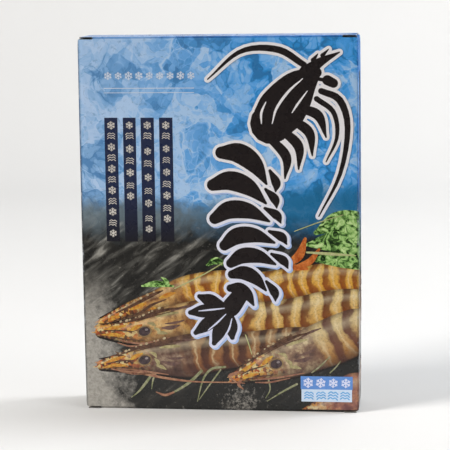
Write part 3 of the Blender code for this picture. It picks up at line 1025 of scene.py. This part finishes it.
def saw_spike(tip, root, depth, teeth=7):
    """A prawn's toothed spike: a thin blade with teeth along its upper side."""
    way = (root - tip).normalized()
    out = Vector((-way.y, way.x))
    pieces = [[tuple(tip), tuple(root - out * depth * 0.5), tuple(root + out * depth * 0.5)]]
    for k in range(teeth):
        at = tip.lerp(root, (k + 1.2) / (teeth + 1))
        base = way * depth * 0.8
        pieces.append([tuple(at), tuple(at + base),
                       tuple(at + out * depth * 0.9 - way * depth * 0.5)])
    return pieces


# thin strokes, each from its root: points and half widths
OLIVE_LEGS = (
    ([(46, 25), (41, 18), (36, 12), (31, 8)], [0.7, 0.9, 0.6, 0.2]),
    ([(48, 25), (46, 20), (45, 14)], [0.6, 0.6, 0.2]),
    ([(79, 27), (72, 20), (65, 15), (58, 11)], [0.9, 1.0, 0.8, 0.5]),
    ([(95, 30), (86, 28.5), (80, 21), (76, 6)], [0.7, 0.8, 0.6, 0.25]),
    ([(92, 28), (84, 17), (77, 7)], [0.5, 0.5, 0.2]),
    ([(153, 27), (158, 31), (165, 38)], [0.4, 0.5, 0.3]),
    ([(165, 27), (169, 31), (172, 35)], [0.4, 0.4, 0.25]),
    ([(143, 19), (134, 14), (123, 7)], [0.7, 0.6, 0.2]),
    ([(124, 22), (125, 15), (122, 9)], [0.6, 0.4, 0.2]),
)
ROSY_LEGS = (
    ([(60, 12), (54, 10), (48, 12)], [0.6, 0.9, 0.3]),
    ([(19, 29), (35, 25.5), (56, 21.5), (76, 19.5), (101, 19.5), (108, 19)],
     [0.4, 0.8, 0.8, 0.5, 0.4, 0.3]),
    ([(102, 20), (98, 24), (107, 27)], [0.4, 1.1, 0.9]),
    ([(106, 22), (104, 18), (107, 15)], [0.9, 1.0, 0.3]),
    ([(18, 27.5), (32, 25), (48, 24)], [0.4, 0.7, 0.5]),
)
PALE_FEELERS = (
    ([(62, 83), (82, 93), (103, 106)], [0.3, 0.4, 0.3]),
    ([(142, 122), (158, 128), (174, 133)], [0.25, 0.3, 0.2]),
    ([(94, 57), (97, 52), (101, 48)], [0.4, 0.35, 0.2]),
    ([(109, 52), (111, 46), (113, 39)], [0.35, 0.35, 0.25]),
    ([(150, 108), (166, 107), (182, 106)], [0.6, 1.0, 0.3]),
)
LEAVES = (
    ([(40, 84.5), (50, 86), (61, 84.5)], [0.6, 2.2, 0.6]),
    ([(53, 90.5), (56, 88), (58, 85)], [0.3, 1.6, 0.8]),
    ([(84, 99), (90, 102), (97, 99)], [0.8, 2.4, 0.8]),
    ([(156, 121), (170, 128), (186, 127), (200, 118)], [1.5, 7.0, 7.0, 2.0]),
    ([(150, 113), (168, 115), (188, 113), (204, 108)], [1.0, 7.0, 8.0, 2.0]),
    ([(154, 103), (172, 104), (192, 102), (206, 98)], [1.0, 6.0, 6.0, 1.5]),
)
# the head of the farthest prawn, seen above the next one
FAR_LINES = (
    ([(22, 66), (34, 71.5), (46, 78), (54, 81.5)], [0.4, 1.0, 1.3, 0.4]),
    ([(30, 63.5), (38, 66), (46, 71.5), (56, 75.5)], [0.3, 0.8, 0.9, 0.3]),
)
FAR_PATCHES = (
    ([(32, 68.5), (37, 70.5), (42, 72.5)], [0.6, 1.7, 0.8]),
    ([(43, 65.5), (47, 68), (51, 69.5)], [0.8, 2.0, 0.8]),
    ([(52, 76.5), (57, 78.5), (62, 80)], [0.6, 1.6, 0.6]),
    ([(17, 61), (20, 62.5), (24, 63)], [0.6, 1.6, 0.6]),
)
FAR_TEETH = ((26, 69.2, 0.7), (29.5, 71.2, 0.9), (34, 73.2, 0.6), (39, 76.2, 0.8),
             (43.5, 78.6, 0.9), (48, 80.6, 0.7))
ORANGE_SPRIG = (
    ([(137, 100), (145, 106), (149, 117)], [1.6, 3.0, 1.0]),
    ([(143, 98), (152, 102), (158, 110)], [1.4, 2.2, 0.8]),
    ([(133, 99), (141, 98), (150, 97)], [1.0, 2.0, 1.0]),
)


def prawn_inks():
    """One material for each shell, each kind of mark on a head, and the eyes and teeth."""
    inks = {name: shell_print(f"varnished_{name}_prawn_print", *tones)
            for name, tones in SHELLS.items()}
    marks = {key: mark[:2] for key, mark in HEAD_MARKS.items()}
    marks.update(spikes=("#4F3A2E", "#7A5C44"), teeth=("#CDBF9C", "#94795C"),
                 tail_leaves=("#B88644", "#70473A"), tail_fringes=("#4A6480", "#6F5A78"),
                 eye_rings=("#7C6246", "#98805A"), eyes=("#342B2E", "#554648"),
                 eye_gleams=("#7F7577", "#988D8A"))
    for key, (colour, fade) in marks.items():
        inks[key] = plain_ink(f"varnished_{key}_print", colour, fade, 1.2)
    return inks


def tail_fan(line, leaves, fringes):
    """Four leaves spread at the end of a body, each with a fringe at its tip."""
    way = (line[-1] - line[-4]).normalized()
    for turn, length in TAIL_LEAVES:
        out = Matrix.Rotation(math.radians(turn), 2) @ way
        root, tip = line[-1] - way * 2, line[-1] + out * length
        leaves.append(([root, root.lerp(tip, 0.6), tip], [1.0, 2.8, 1.0]))
        fringes.append(([root.lerp(tip, 0.8), root.lerp(tip, 0.93), tip + out], [0.4, 1.6, 0.5]))


def printed_prawns(panel, prawns, inks, shift=0.0):
    """Prawns lying one over another, moved round the girth by shift."""
    pieces = []
    strokes = {key: [] for key in HEAD_MARKS}
    shapes = {key: [] for key in FEATURES}
    leaves, fringes = [], []
    for step, (name, spine, halves) in enumerate(prawns, start=1):
        spine = [(s + shift, z) for s, z in spine]
        body = curve_through(spine, BODY_STEPS), widths_through(halves, BODY_STEPS)
        if halves[-1] <= FAN_END:
            tail_fan(body[0], leaves, fringes)
        # a little wider than the body, and lower, for the shade that it throws
        shaded = brush([(s, z - 0.8) for s, z in spine], [half + 0.9 for half in halves],
                       BODY_STEPS)
        if name != "right":
            shaded += brush_shapes(marks_on_body(body, TIP_SPINES))
        pieces.append(print_shape(f"{panel}_prawn_{name}", shaded, inks[name], 0.03 * step,
                                  spine=body))
        if name not in WITH_HEADS:
            continue
        for key, (_, _, _, marks) in HEAD_MARKS.items():
            strokes[key] += marks_on_body(body, marks)
        eye = on_body(*body, *EYE)
        shapes["eye_rings"].append(disc(eye, 3.9, 18, 1.3, 0.3))
        shapes["eyes"].append(disc(eye, 3.1, 18, 1.3, 0.3))
        shapes["eye_gleams"].append(disc(eye + Vector((1.3, 1.2)), 0.8, 10, 1.4, 0.3))
        shapes["spikes"] += saw_spike(on_body(*body, *SPIKE_TIP), on_body(*body, *SPIKE_ROOT),
                                      SPIKE_DEPTH)
        for k in range(TEETH):
            place = on_body(*body, FIRST_TOOTH + TOOTH_PITCH * k + 0.8 * math.sin(2.4 * k), 1.1)
            shapes["teeth"].append(disc(place, 0.66 + 0.2 * math.sin(1.7 * k), 10, 1.4, 0.5))
    for key, fan, lift in (("tail_leaves", leaves, 0.16), ("tail_fringes", fringes, 0.18)):
        pieces.append(print_shape(f"{panel}_{key}", brush_shapes(fan), inks[key], lift))
    for key, (_, _, lift, _) in HEAD_MARKS.items():
        pieces.append(print_shape(f"{panel}_head_{key}", brush_shapes(strokes[key]), inks[key],
                                  lift))
    for key, lift in FEATURES.items():
        pieces.append(print_shape(f"{panel}_{key}", shapes[key], inks[key], lift))
    return pieces


def legs_and_greens(inks):
    """What lies round the prawns on the front, and the farthest prawn's head."""
    teeth = [disc((s, z), size, 10, 1.3, 0.5) for s, z, size in FAR_TEETH]
    pieces = [print_shape(name, shapes, material, lift) for name, shapes, material, lift in (
        ("printed_leaves", brush_shapes(LEAVES), leaf_print(), 0.045),
        ("far_head_patches", brush_shapes(FAR_PATCHES), inks["yellow_scales"], 0.040),
        ("far_head_lines", brush_shapes(FAR_LINES), inks["brown_lines"], 0.045),
        ("far_head_teeth", teeth, inks["teeth"], 0.050))]
    for name, strokes, colour, fade, lift in (
            ("olive_legs", OLIVE_LEGS, "#6C7448", "#A3A184", 0.18),
            ("rosy_legs", ROSY_LEGS, "#8C5C4A", "#B08668", 0.21),
            ("feelers", PALE_FEELERS, "#C6C596", "#A9B173", 0.24),
            ("sprig", ORANGE_SPRIG, "#A84E22", "#D98444", 0.06)):
        material = plain_ink(f"varnished_{name}_print", colour, fade, 1.2)
        pieces.append(print_shape(f"printed_{name}", brush_shapes(strokes), material, lift))
    return pieces


# ---------------------------------------------------------------- repeated small marks
UNCUT = 50.0               # a cell larger than any mark
PATH_STEP = 4              # between the corners of a row's path, so that it follows the board
UNEVENNESS = 0.12          # of the marks' sizes, and of their turns in radians


def bar(start, end, half):
    """A straight stroke with square ends."""
    way = (end - start).normalized() * half
    across = Vector((-way.y, way.x))
    return [tuple(start - across), tuple(end - across), tuple(end + across),
            tuple(start + across)]


def snowflake(radius, arm):
    """A six-armed flake, as flat outlines round the origin."""
    pieces = []
    for k in range(6):
        way = Vector((radius, 0.0)) @ Matrix.Rotation(math.radians(31 + 60 * k), 2)
        if k < 3:
            pieces.append(bar(-way, way, arm * radius))
        for turn in (-45, 45):
            twig = way @ Matrix.Rotation(math.radians(turn), 2)
            pieces.append(bar(way * 0.5, way * 0.5 + twig * 0.42, arm * radius * 0.85))
    return pieces


WAVE = (  # in shares of the mark's radius
    (-1.0, -0.2), (-0.5, 0.2), (0.0, -0.05), (0.5, 0.2), (1.0, -0.2))


def ripple_mark(radius, thick):
    """Three short waves, one above another."""
    pieces = []
    for k in (-1, 0, 1):
        y = k * radius * 0.62
        pieces += brush([(along * radius, y + up * radius) for along, up in WAVE],
                        [thick * radius] * len(WAVE), 10)
    return pieces


def flat_mark(name, outlines):
    """A loose mark, facing -Y, for the marks tree to repeat."""
    flat, cells = cut_to_cells(outlines, UNCUT)
    mesh = bmesh.new()
    made = [mesh.verts.new((p.x * MM, 0.0, p.y * MM)) for p in flat]
    for corners in cells:
        mesh.faces.new([made[k] for k in corners])
    drop_loose_points(mesh)
    return ink_film(name, mesh, [])


def marks_tree():
    """Geometry nodes: one mark at each step along every path, a little uneven."""
    tree = bpy.data.node_groups.new("row_of_marks", "GeometryNodeTree")
    sockets = tree.interface
    for label, kind in (("Paths", "NodeSocketGeometry"), ("Mark", "NodeSocketObject"),
                        ("Pitch", "NodeSocketFloat"), ("Unevenness", "NodeSocketFloat"),
                        ("Facing", "NodeSocketVector"), ("Seed", "NodeSocketInt"),
                        ("Ink", "NodeSocketMaterial")):
        sockets.new_socket(label, in_out="INPUT", socket_type=kind)
    sockets.new_socket("Marks", in_out="OUTPUT", socket_type="NodeSocketGeometry")
    given = tree.nodes.new("NodeGroupInput").outputs
    path = add_node(tree, "GeometryNodeMeshToCurve", {"Mesh": given["Paths"]})
    even = add_node(tree, "GeometryNodeResampleCurve", {"Curve": path.outputs["Curve"],
                    "Length": given["Pitch"]}, mode="LENGTH")
    mark = add_node(tree, "GeometryNodeObjectInfo", {"Object": given["Mark"]})
    least = add_node(tree, "ShaderNodeMath", {0: 1.0, 1: given["Unevenness"]},
                     operation="SUBTRACT")
    size = add_node(tree, "FunctionNodeRandomValue", {2: least.outputs[0], 3: 1.0,
                    "Seed": given["Seed"]}, data_type="FLOAT")
    rows = add_node(tree, "GeometryNodeInstanceOnPoints", {"Points": even.outputs["Curve"],
                    "Instance": mark.outputs["Geometry"], "Rotation": given["Facing"],
                    "Scale": size.outputs[1]})
    sway = add_node(tree, "ShaderNodeCombineXYZ", {"Y": given["Unevenness"]})
    back = add_node(tree, "ShaderNodeVectorMath", {0: sway.outputs[0], "Scale": -1.0},
                    operation="SCALE")
    spin = add_node(tree, "FunctionNodeRandomValue", {0: back.outputs["Vector"],
                    1: sway.outputs[0], "Seed": given["Seed"]}, data_type="FLOAT_VECTOR")
    turned = add_node(tree, "GeometryNodeRotateInstances", {"Instances": rows.outputs[0],
                      "Rotation": spin.outputs[0]})
    real = add_node(tree, "GeometryNodeRealizeInstances", {0: turned.outputs[0]})
    inked = add_node(tree, "GeometryNodeSetMaterial", {"Geometry": real.outputs[0],
                     "Material": given["Ink"]})
    out = tree.nodes.new("NodeGroupOutput")
    tree.links.new(inked.outputs[0], out.inputs[0])
    return tree


def rows_of_marks(name, tree, mark, material, paths, lift, pitch, facing=0.0, seed=1):
    """Marks along paths, each path a list of corners round the girth and up."""
    mesh = bmesh.new()
    for path in paths:
        made = []
        for a, b in zip(path, path[1:]):
            length = math.hypot(b[0] - a[0], b[1] - a[1])
            count = max(1, round(length / PATH_STEP))
            made += [(a[0] + (b[0] - a[0]) * k / count, a[1] + (b[1] - a[1]) * k / count)
                     for k in range(count)]
        made.append(path[-1])
        dots = [mesh.verts.new(round_the_girth(s, z, lift)) for s, z in made]
        for a, b in zip(dots, dots[1:]):
            mesh.edges.new((a, b))
    data = bpy.data.meshes.new(name)
    mesh.to_mesh(data)
    mesh.free()
    rows = bpy.data.objects.new(name, data)
    bpy.context.scene.collection.objects.link(rows)
    repeat = rows.modifiers.new("rows of marks", "NODES")
    repeat.node_group = tree
    values = {"Mark": mark, "Pitch": pitch * MM, "Unevenness": UNEVENNESS,
              "Facing": (0.0, 0.0, facing), "Seed": seed, "Ink": material}
    for socket in tree.interface.items_tree:
        if socket.in_out == "INPUT" and socket.name in values:
            repeat[socket.identifier] = values[socket.name]
    return applied(rows)


# ---------------------------------------------------------------- panels of flat print
BARS = (  # left, right, and where its marks end
    (17.0, 25.8, 116.0), (29.4, 37.9, 141.0), (41.2, 50.0, 119.0), (53.5, 62.4, 126.0))
BAR_LOW, BAR_TOP, BAR_PITCH = 114.5, 197.0, 14.0
FROST_ROW = 224.5
FROST_RULES = ((216.1, 216.6), (213.2, 213.6))
LABEL_UPPER = (145.5, 180, 15.6, 24.5)
LABEL_LOWER = (146, 179.6, 7.2, 15.6)
KEYLINE = 1.9              # the pale line's width round the painted prawn's strokes
ECHO_TOP = 165             # the keyline's blue echo shows on strokes below this


def panel_inks():
    """The solid press colours of the bars, labels and painted signs."""
    return {
        "navy": plain_ink("varnished_navy_ink", "#262F4C", "#33384F", 0.8, "#24211F",
                          (108, 150)),
        "stone": plain_ink("varnished_stone_ink", "#E0DBD2", "#B8B3AE", 1.2),
        "blue": plain_ink("varnished_label_blue_ink", "#5C8CD4", "#6E9ADA", 0.6),
        "pale": plain_ink("varnished_label_pale_ink", "#D2E2F6", "#BFD5F0", 0.6),
        "sky": plain_ink("varnished_sky_ink", "#6FB0E4", "#5E9DD6", 0.6),
        "frost": plain_ink("varnished_frost_ink", "#DEE4EF", "#BFD1E9", 0.8),
        "black": plain_ink("varnished_warm_black_ink", "#231F20", "#2E2827", 0.8),
        "keyline": plain_ink("varnished_keyline_white_ink", "#F6F3F5", "#EAEAF0", 0.6,
                             "#D8DDF6", (60, 170)),
        "echo": plain_ink("varnished_keyline_blue_ink", "#A9C1EC", "#B7CBEF", 0.6),
    }


def bars_and_label(rows, inks):
    """Four dark upright bars with pale marks, a pale row above them, and the two-part label
    low on the right."""
    tops = [((left + right) / 2, end) for left, right, end in BARS]
    return [
        print_shape("navy_bars", [rectangle(left, right, BAR_LOW, BAR_TOP)
                                  for left, right, _ in BARS], inks["navy"], 0.03),
        rows("bar_snowflakes", "flake", inks["stone"],
             [[(x, BAR_TOP - 5), (x, end + 4)] for x, end in tops], 0.06, BAR_PITCH, seed=3),
        rows("bar_waves", "wave", inks["stone"],
             [[(x, BAR_TOP - 12), (x, end + 11)] for x, end in tops], 0.06, BAR_PITCH, seed=5),
        rows("frost_row", "flake", inks["frost"], [[(20, FROST_ROW), (75, FROST_ROW)]], 0.03,
             6.8, seed=9),
        print_shape("frost_rules", [rectangle(17, 77, *rule) for rule in FROST_RULES],
                    inks["frost"], 0.03),
        print_shape("label_upper_half", [rectangle(*LABEL_UPPER)], inks["blue"], 0.27),
        print_shape("label_lower_half", [rectangle(*LABEL_LOWER)], inks["pale"], 0.27),
        rows("label_snowflakes", "broad_flake", inks["keyline"], [[(150.5, 20), (175.5, 20)]],
             0.30, 8.3, seed=7),
        rows("label_waves", "broad_wave", inks["sky"], [[(151, 11.4), (175, 11.4)]], 0.30,
             8.0, seed=8),
    ]


def painted_sign(panel, inks, scale=1.0, shift=(0.0, 0.0), lift=0.24):
    """The brush-painted prawn in black, its pale keyline, and the keyline's blue echo."""
    strokes = placed(brush_prawn(), scale, shift)
    edge = KEYLINE * math.sqrt(scale)
    echo = [stroke for stroke, full in zip(placed(strokes, 1.0, (scale, -scale)), brush_prawn())
            if max(point[1] for point in full[0]) < ECHO_TOP]
    return [print_shape(f"{panel}_sign_{name}", shapes, inks[colour], lift + above)
            for name, shapes, colour, above in (
                ("echo", brush_shapes(echo, edge), "echo", 0.0),
                ("keyline", brush_shapes(strokes, edge), "keyline", 0.03),
                ("strokes", brush_shapes(strokes), "black", 0.06),
                ("inner_lines", brush_shapes(placed(SIGN_LINES, scale, shift)), "keyline",
                 0.09))]


# ---------------------------------------------------------------- back and side panels
MIDDLE_OF_BACK = BACK_START + WIDTH / 2
CARD_LOW, CARD_TOP, CARD_HALF = 92.0, 150.0, 66.0
CARD_HEAD = 12.0           # height of the card's dark heading
TABLE_INSET, TABLE_GAP = 6.0, 3.0      # from the card's left side, and above and below
TABLE_SPLIT, TABLE_END = 36.0, 26.0    # its second line, and its distance from the right side
RULED_ROWS = 6
HAIRLINE = 0.4
CARD_PITCH = 16.0
STRIPS = (  # side, its middle round the girth, the strip's foot, and which way it faces
    ("right", WIDTH + DEPTH / 2, 142.0, math.pi / 2),
    ("left", GIRTH - DEPTH / 2, 112.0, -math.pi / 2))
STRIP_HALF, STRIP_TOP, STRIP_PITCH = 7.0, 226.0, 14.0
BACKWARDS = math.pi        # turns a mark to face the back


def rounded(left, right, bottom, top, radius=3.0):
    """A rectangle with round corners."""
    found = []
    for x, y, start in ((right - radius, top - radius, 0), (left + radius, top - radius, 90),
                        (left + radius, bottom + radius, 180),
                        (right - radius, bottom + radius, 270)):
        for k in range(5):
            angle = math.radians(start + 22.5 * k)
            found.append((x + radius * math.cos(angle), y + radius * math.sin(angle)))
    return found


def ruled_card(rows, inks):
    """A pale card on the back: a dark heading with snowflakes over an empty ruled table, and
    two plain keep-frozen marks beside it."""
    left, right = MIDDLE_OF_BACK - CARD_HALF, MIDDLE_OF_BACK + CARD_HALF
    head = CARD_TOP - CARD_HEAD
    start, end = left + TABLE_INSET, right - TABLE_END
    foot = CARD_LOW + TABLE_GAP
    pitch = (head - CARD_LOW - 2 * TABLE_GAP) / RULED_ROWS
    lines = [rectangle(start, end, foot + pitch * k, foot + pitch * k + HAIRLINE)
             for k in range(RULED_ROWS + 1)]
    lines += [rectangle(x, x + HAIRLINE, foot, head - TABLE_GAP + HAIRLINE)
              for x in (start, left + TABLE_SPLIT, end - HAIRLINE)]
    middle = (end + right) / 2
    return [
        print_shape("back_card", [rounded(left, right, CARD_LOW, CARD_TOP)], inks["pale"], 0.03),
        print_shape("back_card_heading", [rounded(left + 2, right - 2, head, CARD_TOP - 2, 2)],
                    inks["navy"], 0.06),
        print_shape("back_card_lines", lines, inks["navy"], 0.06),
        rows("back_heading_snowflakes", "flake", inks["frost"],
             [[(left + 10, head + 5), (right - 8, head + 5)]], 0.09, 8.0, BACKWARDS, 11),
        rows("back_card_snowflakes", "flake", inks["sky"],
             [[(middle, head - 7), (middle, CARD_LOW + 6)]], 0.06, CARD_PITCH, BACKWARDS, 12),
        rows("back_card_waves", "wave", inks["sky"],
             [[(middle, head - 15), (middle, CARD_LOW + 14.5)]], 0.06, CARD_PITCH, BACKWARDS,
             13),
    ]


def side_strips(rows, inks):
    """A dark strip with snowflakes and waves on each narrow panel."""
    pieces = [print_shape("side_strips", [rounded(x - STRIP_HALF, x + STRIP_HALF, foot,
                                                  STRIP_TOP, 2)
                                          for _, x, foot, _ in STRIPS], inks["navy"], 0.03)]
    for side, x, foot, facing in STRIPS:
        for name, mark, inset, seed in (("snowflakes", "flake", 7, 15), ("waves", "wave", 14, 16)):
            pieces.append(rows(f"{side}_strip_{name}", mark, inks["stone"],
                               [[(x, STRIP_TOP - inset), (x, foot + inset - 1)]], 0.06,
                               STRIP_PITCH, facing, seed))
    return pieces


def glue_seam(edge):
    """The cut edge of the last side panel, glued down along the back's left crease."""
    return print_shape("glued_seam_edge", [rectangle(LAST_START - 1.5, LAST_START - 1.0, 3.0,
                                                     HEIGHT - 3.0)], edge, 0.30)


# ---------------------------------------------------------------- studio, in metres
FRONT_EDGE = -0.22         # where the paper that lights the carton ends
SWEEP_HALF = 2.2           # half the width of a paper sweep
SWEEP_FLOOR = 1.1          # how far its floor runs before it curves up
SWEEP_CURVE, SWEEP_TURNS = 0.6, 16
SWEEP_TOP = 2.4
SWEEP_SMOOTH = 80
SWEEP_MIDDLE = 0.7         # and half the width of its middle strip
BLACK_LOW, BLACK_FAR, BLACK_TOP = -0.02, -2.0, 1.0     # the black cards' floor and wall
GREY_SIDES, GREY_PLACE, GREY_ENDS = (0.07, 0.45), 0.3, (0.002, 0.7)    # the grey card


def studio_paper():
    """Matt white background paper, a touch warm, with a barely visible tooth."""
    material, tree, shader = new_material("background_paper")
    place = millimetres(tree)
    tooth = add_node(tree, "ShaderNodeTexNoise", {"Vector": place, "Scale": 1 / 1.5,
                     "Detail": 3.0})
    white = add_node(tree, "ShaderNodeMix", {0: tooth.outputs["Fac"], A: "#E3E3E3",
                     B: "#E0E0DF"}, data_type="RGBA")
    tree.links.new(white.outputs[MIXED], shader.inputs["Base Color"])
    shader.inputs["Roughness"].default_value = 0.9
    shader.inputs["Specular IOR Level"].default_value = 0.1
    return material


def sweep_mesh(way, front):
    """Floor from y = front that curves up into a wall, behind (way 1) or before (way -1)."""
    profile = [(y, 0.0) for y in (front, 0.0, way * 0.5)
               if (y - front) * way >= 0 and y * way < SWEEP_FLOOR]
    profile.append((way * SWEEP_FLOOR, 0.0))
    turns = [math.pi / 2 * k / SWEEP_TURNS for k in range(1, SWEEP_TURNS + 1)]
    profile += [(way * (SWEEP_FLOOR + SWEEP_CURVE * math.sin(turn)),
                 SWEEP_CURVE - SWEEP_CURVE * math.cos(turn)) for turn in turns]
    profile.append((way * (SWEEP_FLOOR + SWEEP_CURVE), SWEEP_TOP))
    mesh = bmesh.new()
    across = (-SWEEP_HALF, -SWEEP_MIDDLE, SWEEP_MIDDLE, SWEEP_HALF)
    weld_grid(mesh, [[(x, y, z) for x in across] for y, z in profile])
    bmesh.ops.recalc_face_normals(mesh, faces=mesh.faces[:])
    floor = min(mesh.faces, key=lambda f: abs(f.calc_center_median().y))
    if floor.normal.z < 0:
        bmesh.ops.reverse_faces(mesh, faces=mesh.faces[:])
    return mesh


def studio_sweeps():
    """Paper under and behind the carton, and sweeps on the other three sides that only the
    camera sees, so that they neither light the carton nor shadow it."""
    paper = studio_paper()
    finished("studio_sweep", sweep_mesh(1, FRONT_EDGE), [paper], SWEEP_SMOOTH)
    for name, turn, front in (("near_sweep", 0, FRONT_EDGE),
                              ("left_sweep", -90, -SWEEP_FLOOR),
                              ("right_sweep", 90, -SWEEP_FLOOR)):
        mesh = sweep_mesh(-1, front)
        mesh.transform(Matrix.Rotation(math.radians(turn), 4, "Z"))
        sweep = finished(name, mesh, [paper], SWEEP_SMOOTH)
        sweep.visible_diffuse = sweep.visible_glossy = False
        sweep.visible_transmission = sweep.visible_shadow = False


def velvet(name, dark, pale):
    """Matt velvet, whose nap lies unevenly."""
    material, tree, shader = new_material(name)
    place = millimetres(tree)
    nap = add_node(tree, "ShaderNodeTexNoise", {"Vector": place, "Scale": 1 / 4})
    cloth = add_node(tree, "ShaderNodeMix", {0: nap.outputs["Fac"], A: dark, B: pale},
                     data_type="RGBA")
    tree.links.new(cloth.outputs[MIXED], shader.inputs["Base Color"])
    shader.inputs["Roughness"].default_value = 1.0
    shader.inputs["Specular IOR Level"].default_value = 0.0
    return material


def velvet_cards():
    """Cards that the camera doesn't see: black on its own side, so that blacks stay deep, and
    grey behind on the right, so that the narrow panel doesn't mirror white paper."""
    mesh = bmesh.new()
    weld_grid(mesh, [[(x, y, z) for x in (-SWEEP_HALF, SWEEP_HALF)]
                     for y, z in ((FRONT_EDGE + BLACK_LOW, BLACK_LOW),
                                  (BLACK_FAR, BLACK_LOW), (BLACK_FAR, BLACK_TOP))])
    bmesh.ops.recalc_face_normals(mesh, faces=mesh.faces[:])
    cards = finished("black_cards", mesh, [velvet("black_velvet", "#0B0B0B", "#141414")])
    cards.visible_camera = False
    mesh = bmesh.new()
    weld_grid(mesh, [[(x, GREY_PLACE, z) for x in GREY_SIDES] for z in GREY_ENDS])
    behind = finished("grey_card", mesh, [velvet("grey_velvet", "#7B8894", "#838F9B")])
    behind.visible_camera = behind.visible_diffuse = behind.visible_shadow = False


def look_at(place, target):
    """A matrix at place whose -Z points at target."""
    back = (Vector(place) - Vector(target)).normalized()
    turn = back.to_track_quat("Z", "Y")
    return Matrix.Translation(place) @ turn.to_matrix().to_4x4()


def softbox(name, place, target, size, power, colour="#FFFFFF", mirrored=True):
    """A soft light. One that isn't mirrored leaves no bright streak along the creases."""
    light = bpy.data.lights.new(name, "AREA")
    light.shape = "RECTANGLE"
    light.size, light.size_y = size
    light.energy = power
    light.color = ink(colour)[:3]
    lamp = bpy.data.objects.new(name, light)
    lamp.matrix_world = look_at(place, target)
    lamp.visible_glossy = mirrored
    bpy.context.scene.collection.objects.link(lamp)


def studio_lights():
    world = bpy.data.worlds.new("studio_air")
    world.use_nodes = True
    air = world.node_tree.nodes["Background"]
    air.inputs["Color"].default_value = ink("#FBFAF6")
    air.inputs["Strength"].default_value = 0.12
    bpy.context.scene.world = world
    softbox("key_right_behind", (1.8, 0.5, 0.8), (0.0, 0.0, 0.1), (0.7, 0.7), 31,
            mirrored=False)
    softbox("fill_left_front", (-1.75, -1.05, 1.1), (0.0, 0.0, 0.1), (0.8, 1.0), 58, "#FFFBF6")
    softbox("fill_right_front", (1.5, -0.7, 1.2), (0.0, 0.0, 0.1), (0.8, 0.8), 7)
    softbox("backdrop_wash", (0.6, 0.5, 2.2), (0.2, 1.3, 0.2), (1.6, 1.0), 17, "#F8FBFF")


CAMERA_PLACE = Vector((0.1416, -1.1326, 0.2939))
YAW, PITCH, ROLL = math.radians(7.03), math.radians(8.51), math.radians(-0.76)
FOCAL_PIXELS, PICTURE_PIXELS = 1720, 450
SENSOR = 36.0              # millimetres


def camera():
    forward = Vector((-math.sin(YAW) * math.cos(PITCH), math.cos(YAW) * math.cos(PITCH),
                      -math.sin(PITCH)))
    level = Vector((math.cos(YAW), math.sin(YAW), 0.0))
    upright = level.cross(forward)
    right = level * math.cos(ROLL) + upright * math.sin(ROLL)
    up = upright * math.cos(ROLL) - level * math.sin(ROLL)
    turn = Matrix((right, up, -forward)).transposed()
    data = bpy.data.cameras.new("camera")
    data.sensor_width = SENSOR
    data.lens = SENSOR * FOCAL_PIXELS / PICTURE_PIXELS
    shooter = bpy.data.objects.new("camera", data)
    shooter.matrix_world = Matrix.Translation(CAMERA_PLACE) @ turn.to_4x4()
    bpy.context.scene.collection.objects.link(shooter)
    bpy.context.scene.camera = shooter
    bpy.context.scene.view_settings.view_transform = "Standard"


# ---------------------------------------------------------------- everything together
def carton():
    edge = board_edge()
    board = folded_board([ice_and_slate_print(), board_inside(), edge])
    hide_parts("carton")
    tree = marks_tree()
    marks = {"flake": flat_mark("flake", snowflake(2.8, 0.11)),
             "wave": flat_mark("wave", ripple_mark(2.5, 0.11)),
             "broad_flake": flat_mark("broad_flake", snowflake(3.6, 0.12)),
             "broad_wave": flat_mark("broad_wave", ripple_mark(3.1, 0.15))}

    def rows(name, mark, *rest, **more):
        return rows_of_marks(name, tree, marks[mark], *rest, **more)

    inks, shells = panel_inks(), prawn_inks()
    pieces = [board, *legs_and_greens(shells),
              *printed_prawns("front", FRONT_PRAWNS, shells),
              *bars_and_label(rows, inks), *painted_sign("front", inks),
              *printed_prawns("back", BACK_PRAWNS, shells, BACK_START),
              *ruled_card(rows, inks), *side_strips(rows, inks),
              *painted_sign("back", inks, 0.42, (BACK_START + 39, 137.0), 0.03),
              glue_seam(edge)]
    for loose in marks.values():
        bpy.data.objects.remove(loose, do_unlink=True)
    for piece in pieces:
        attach(piece, "root")


camera()
studio_lights()
studio_sweeps()
velvet_cards()
carton()
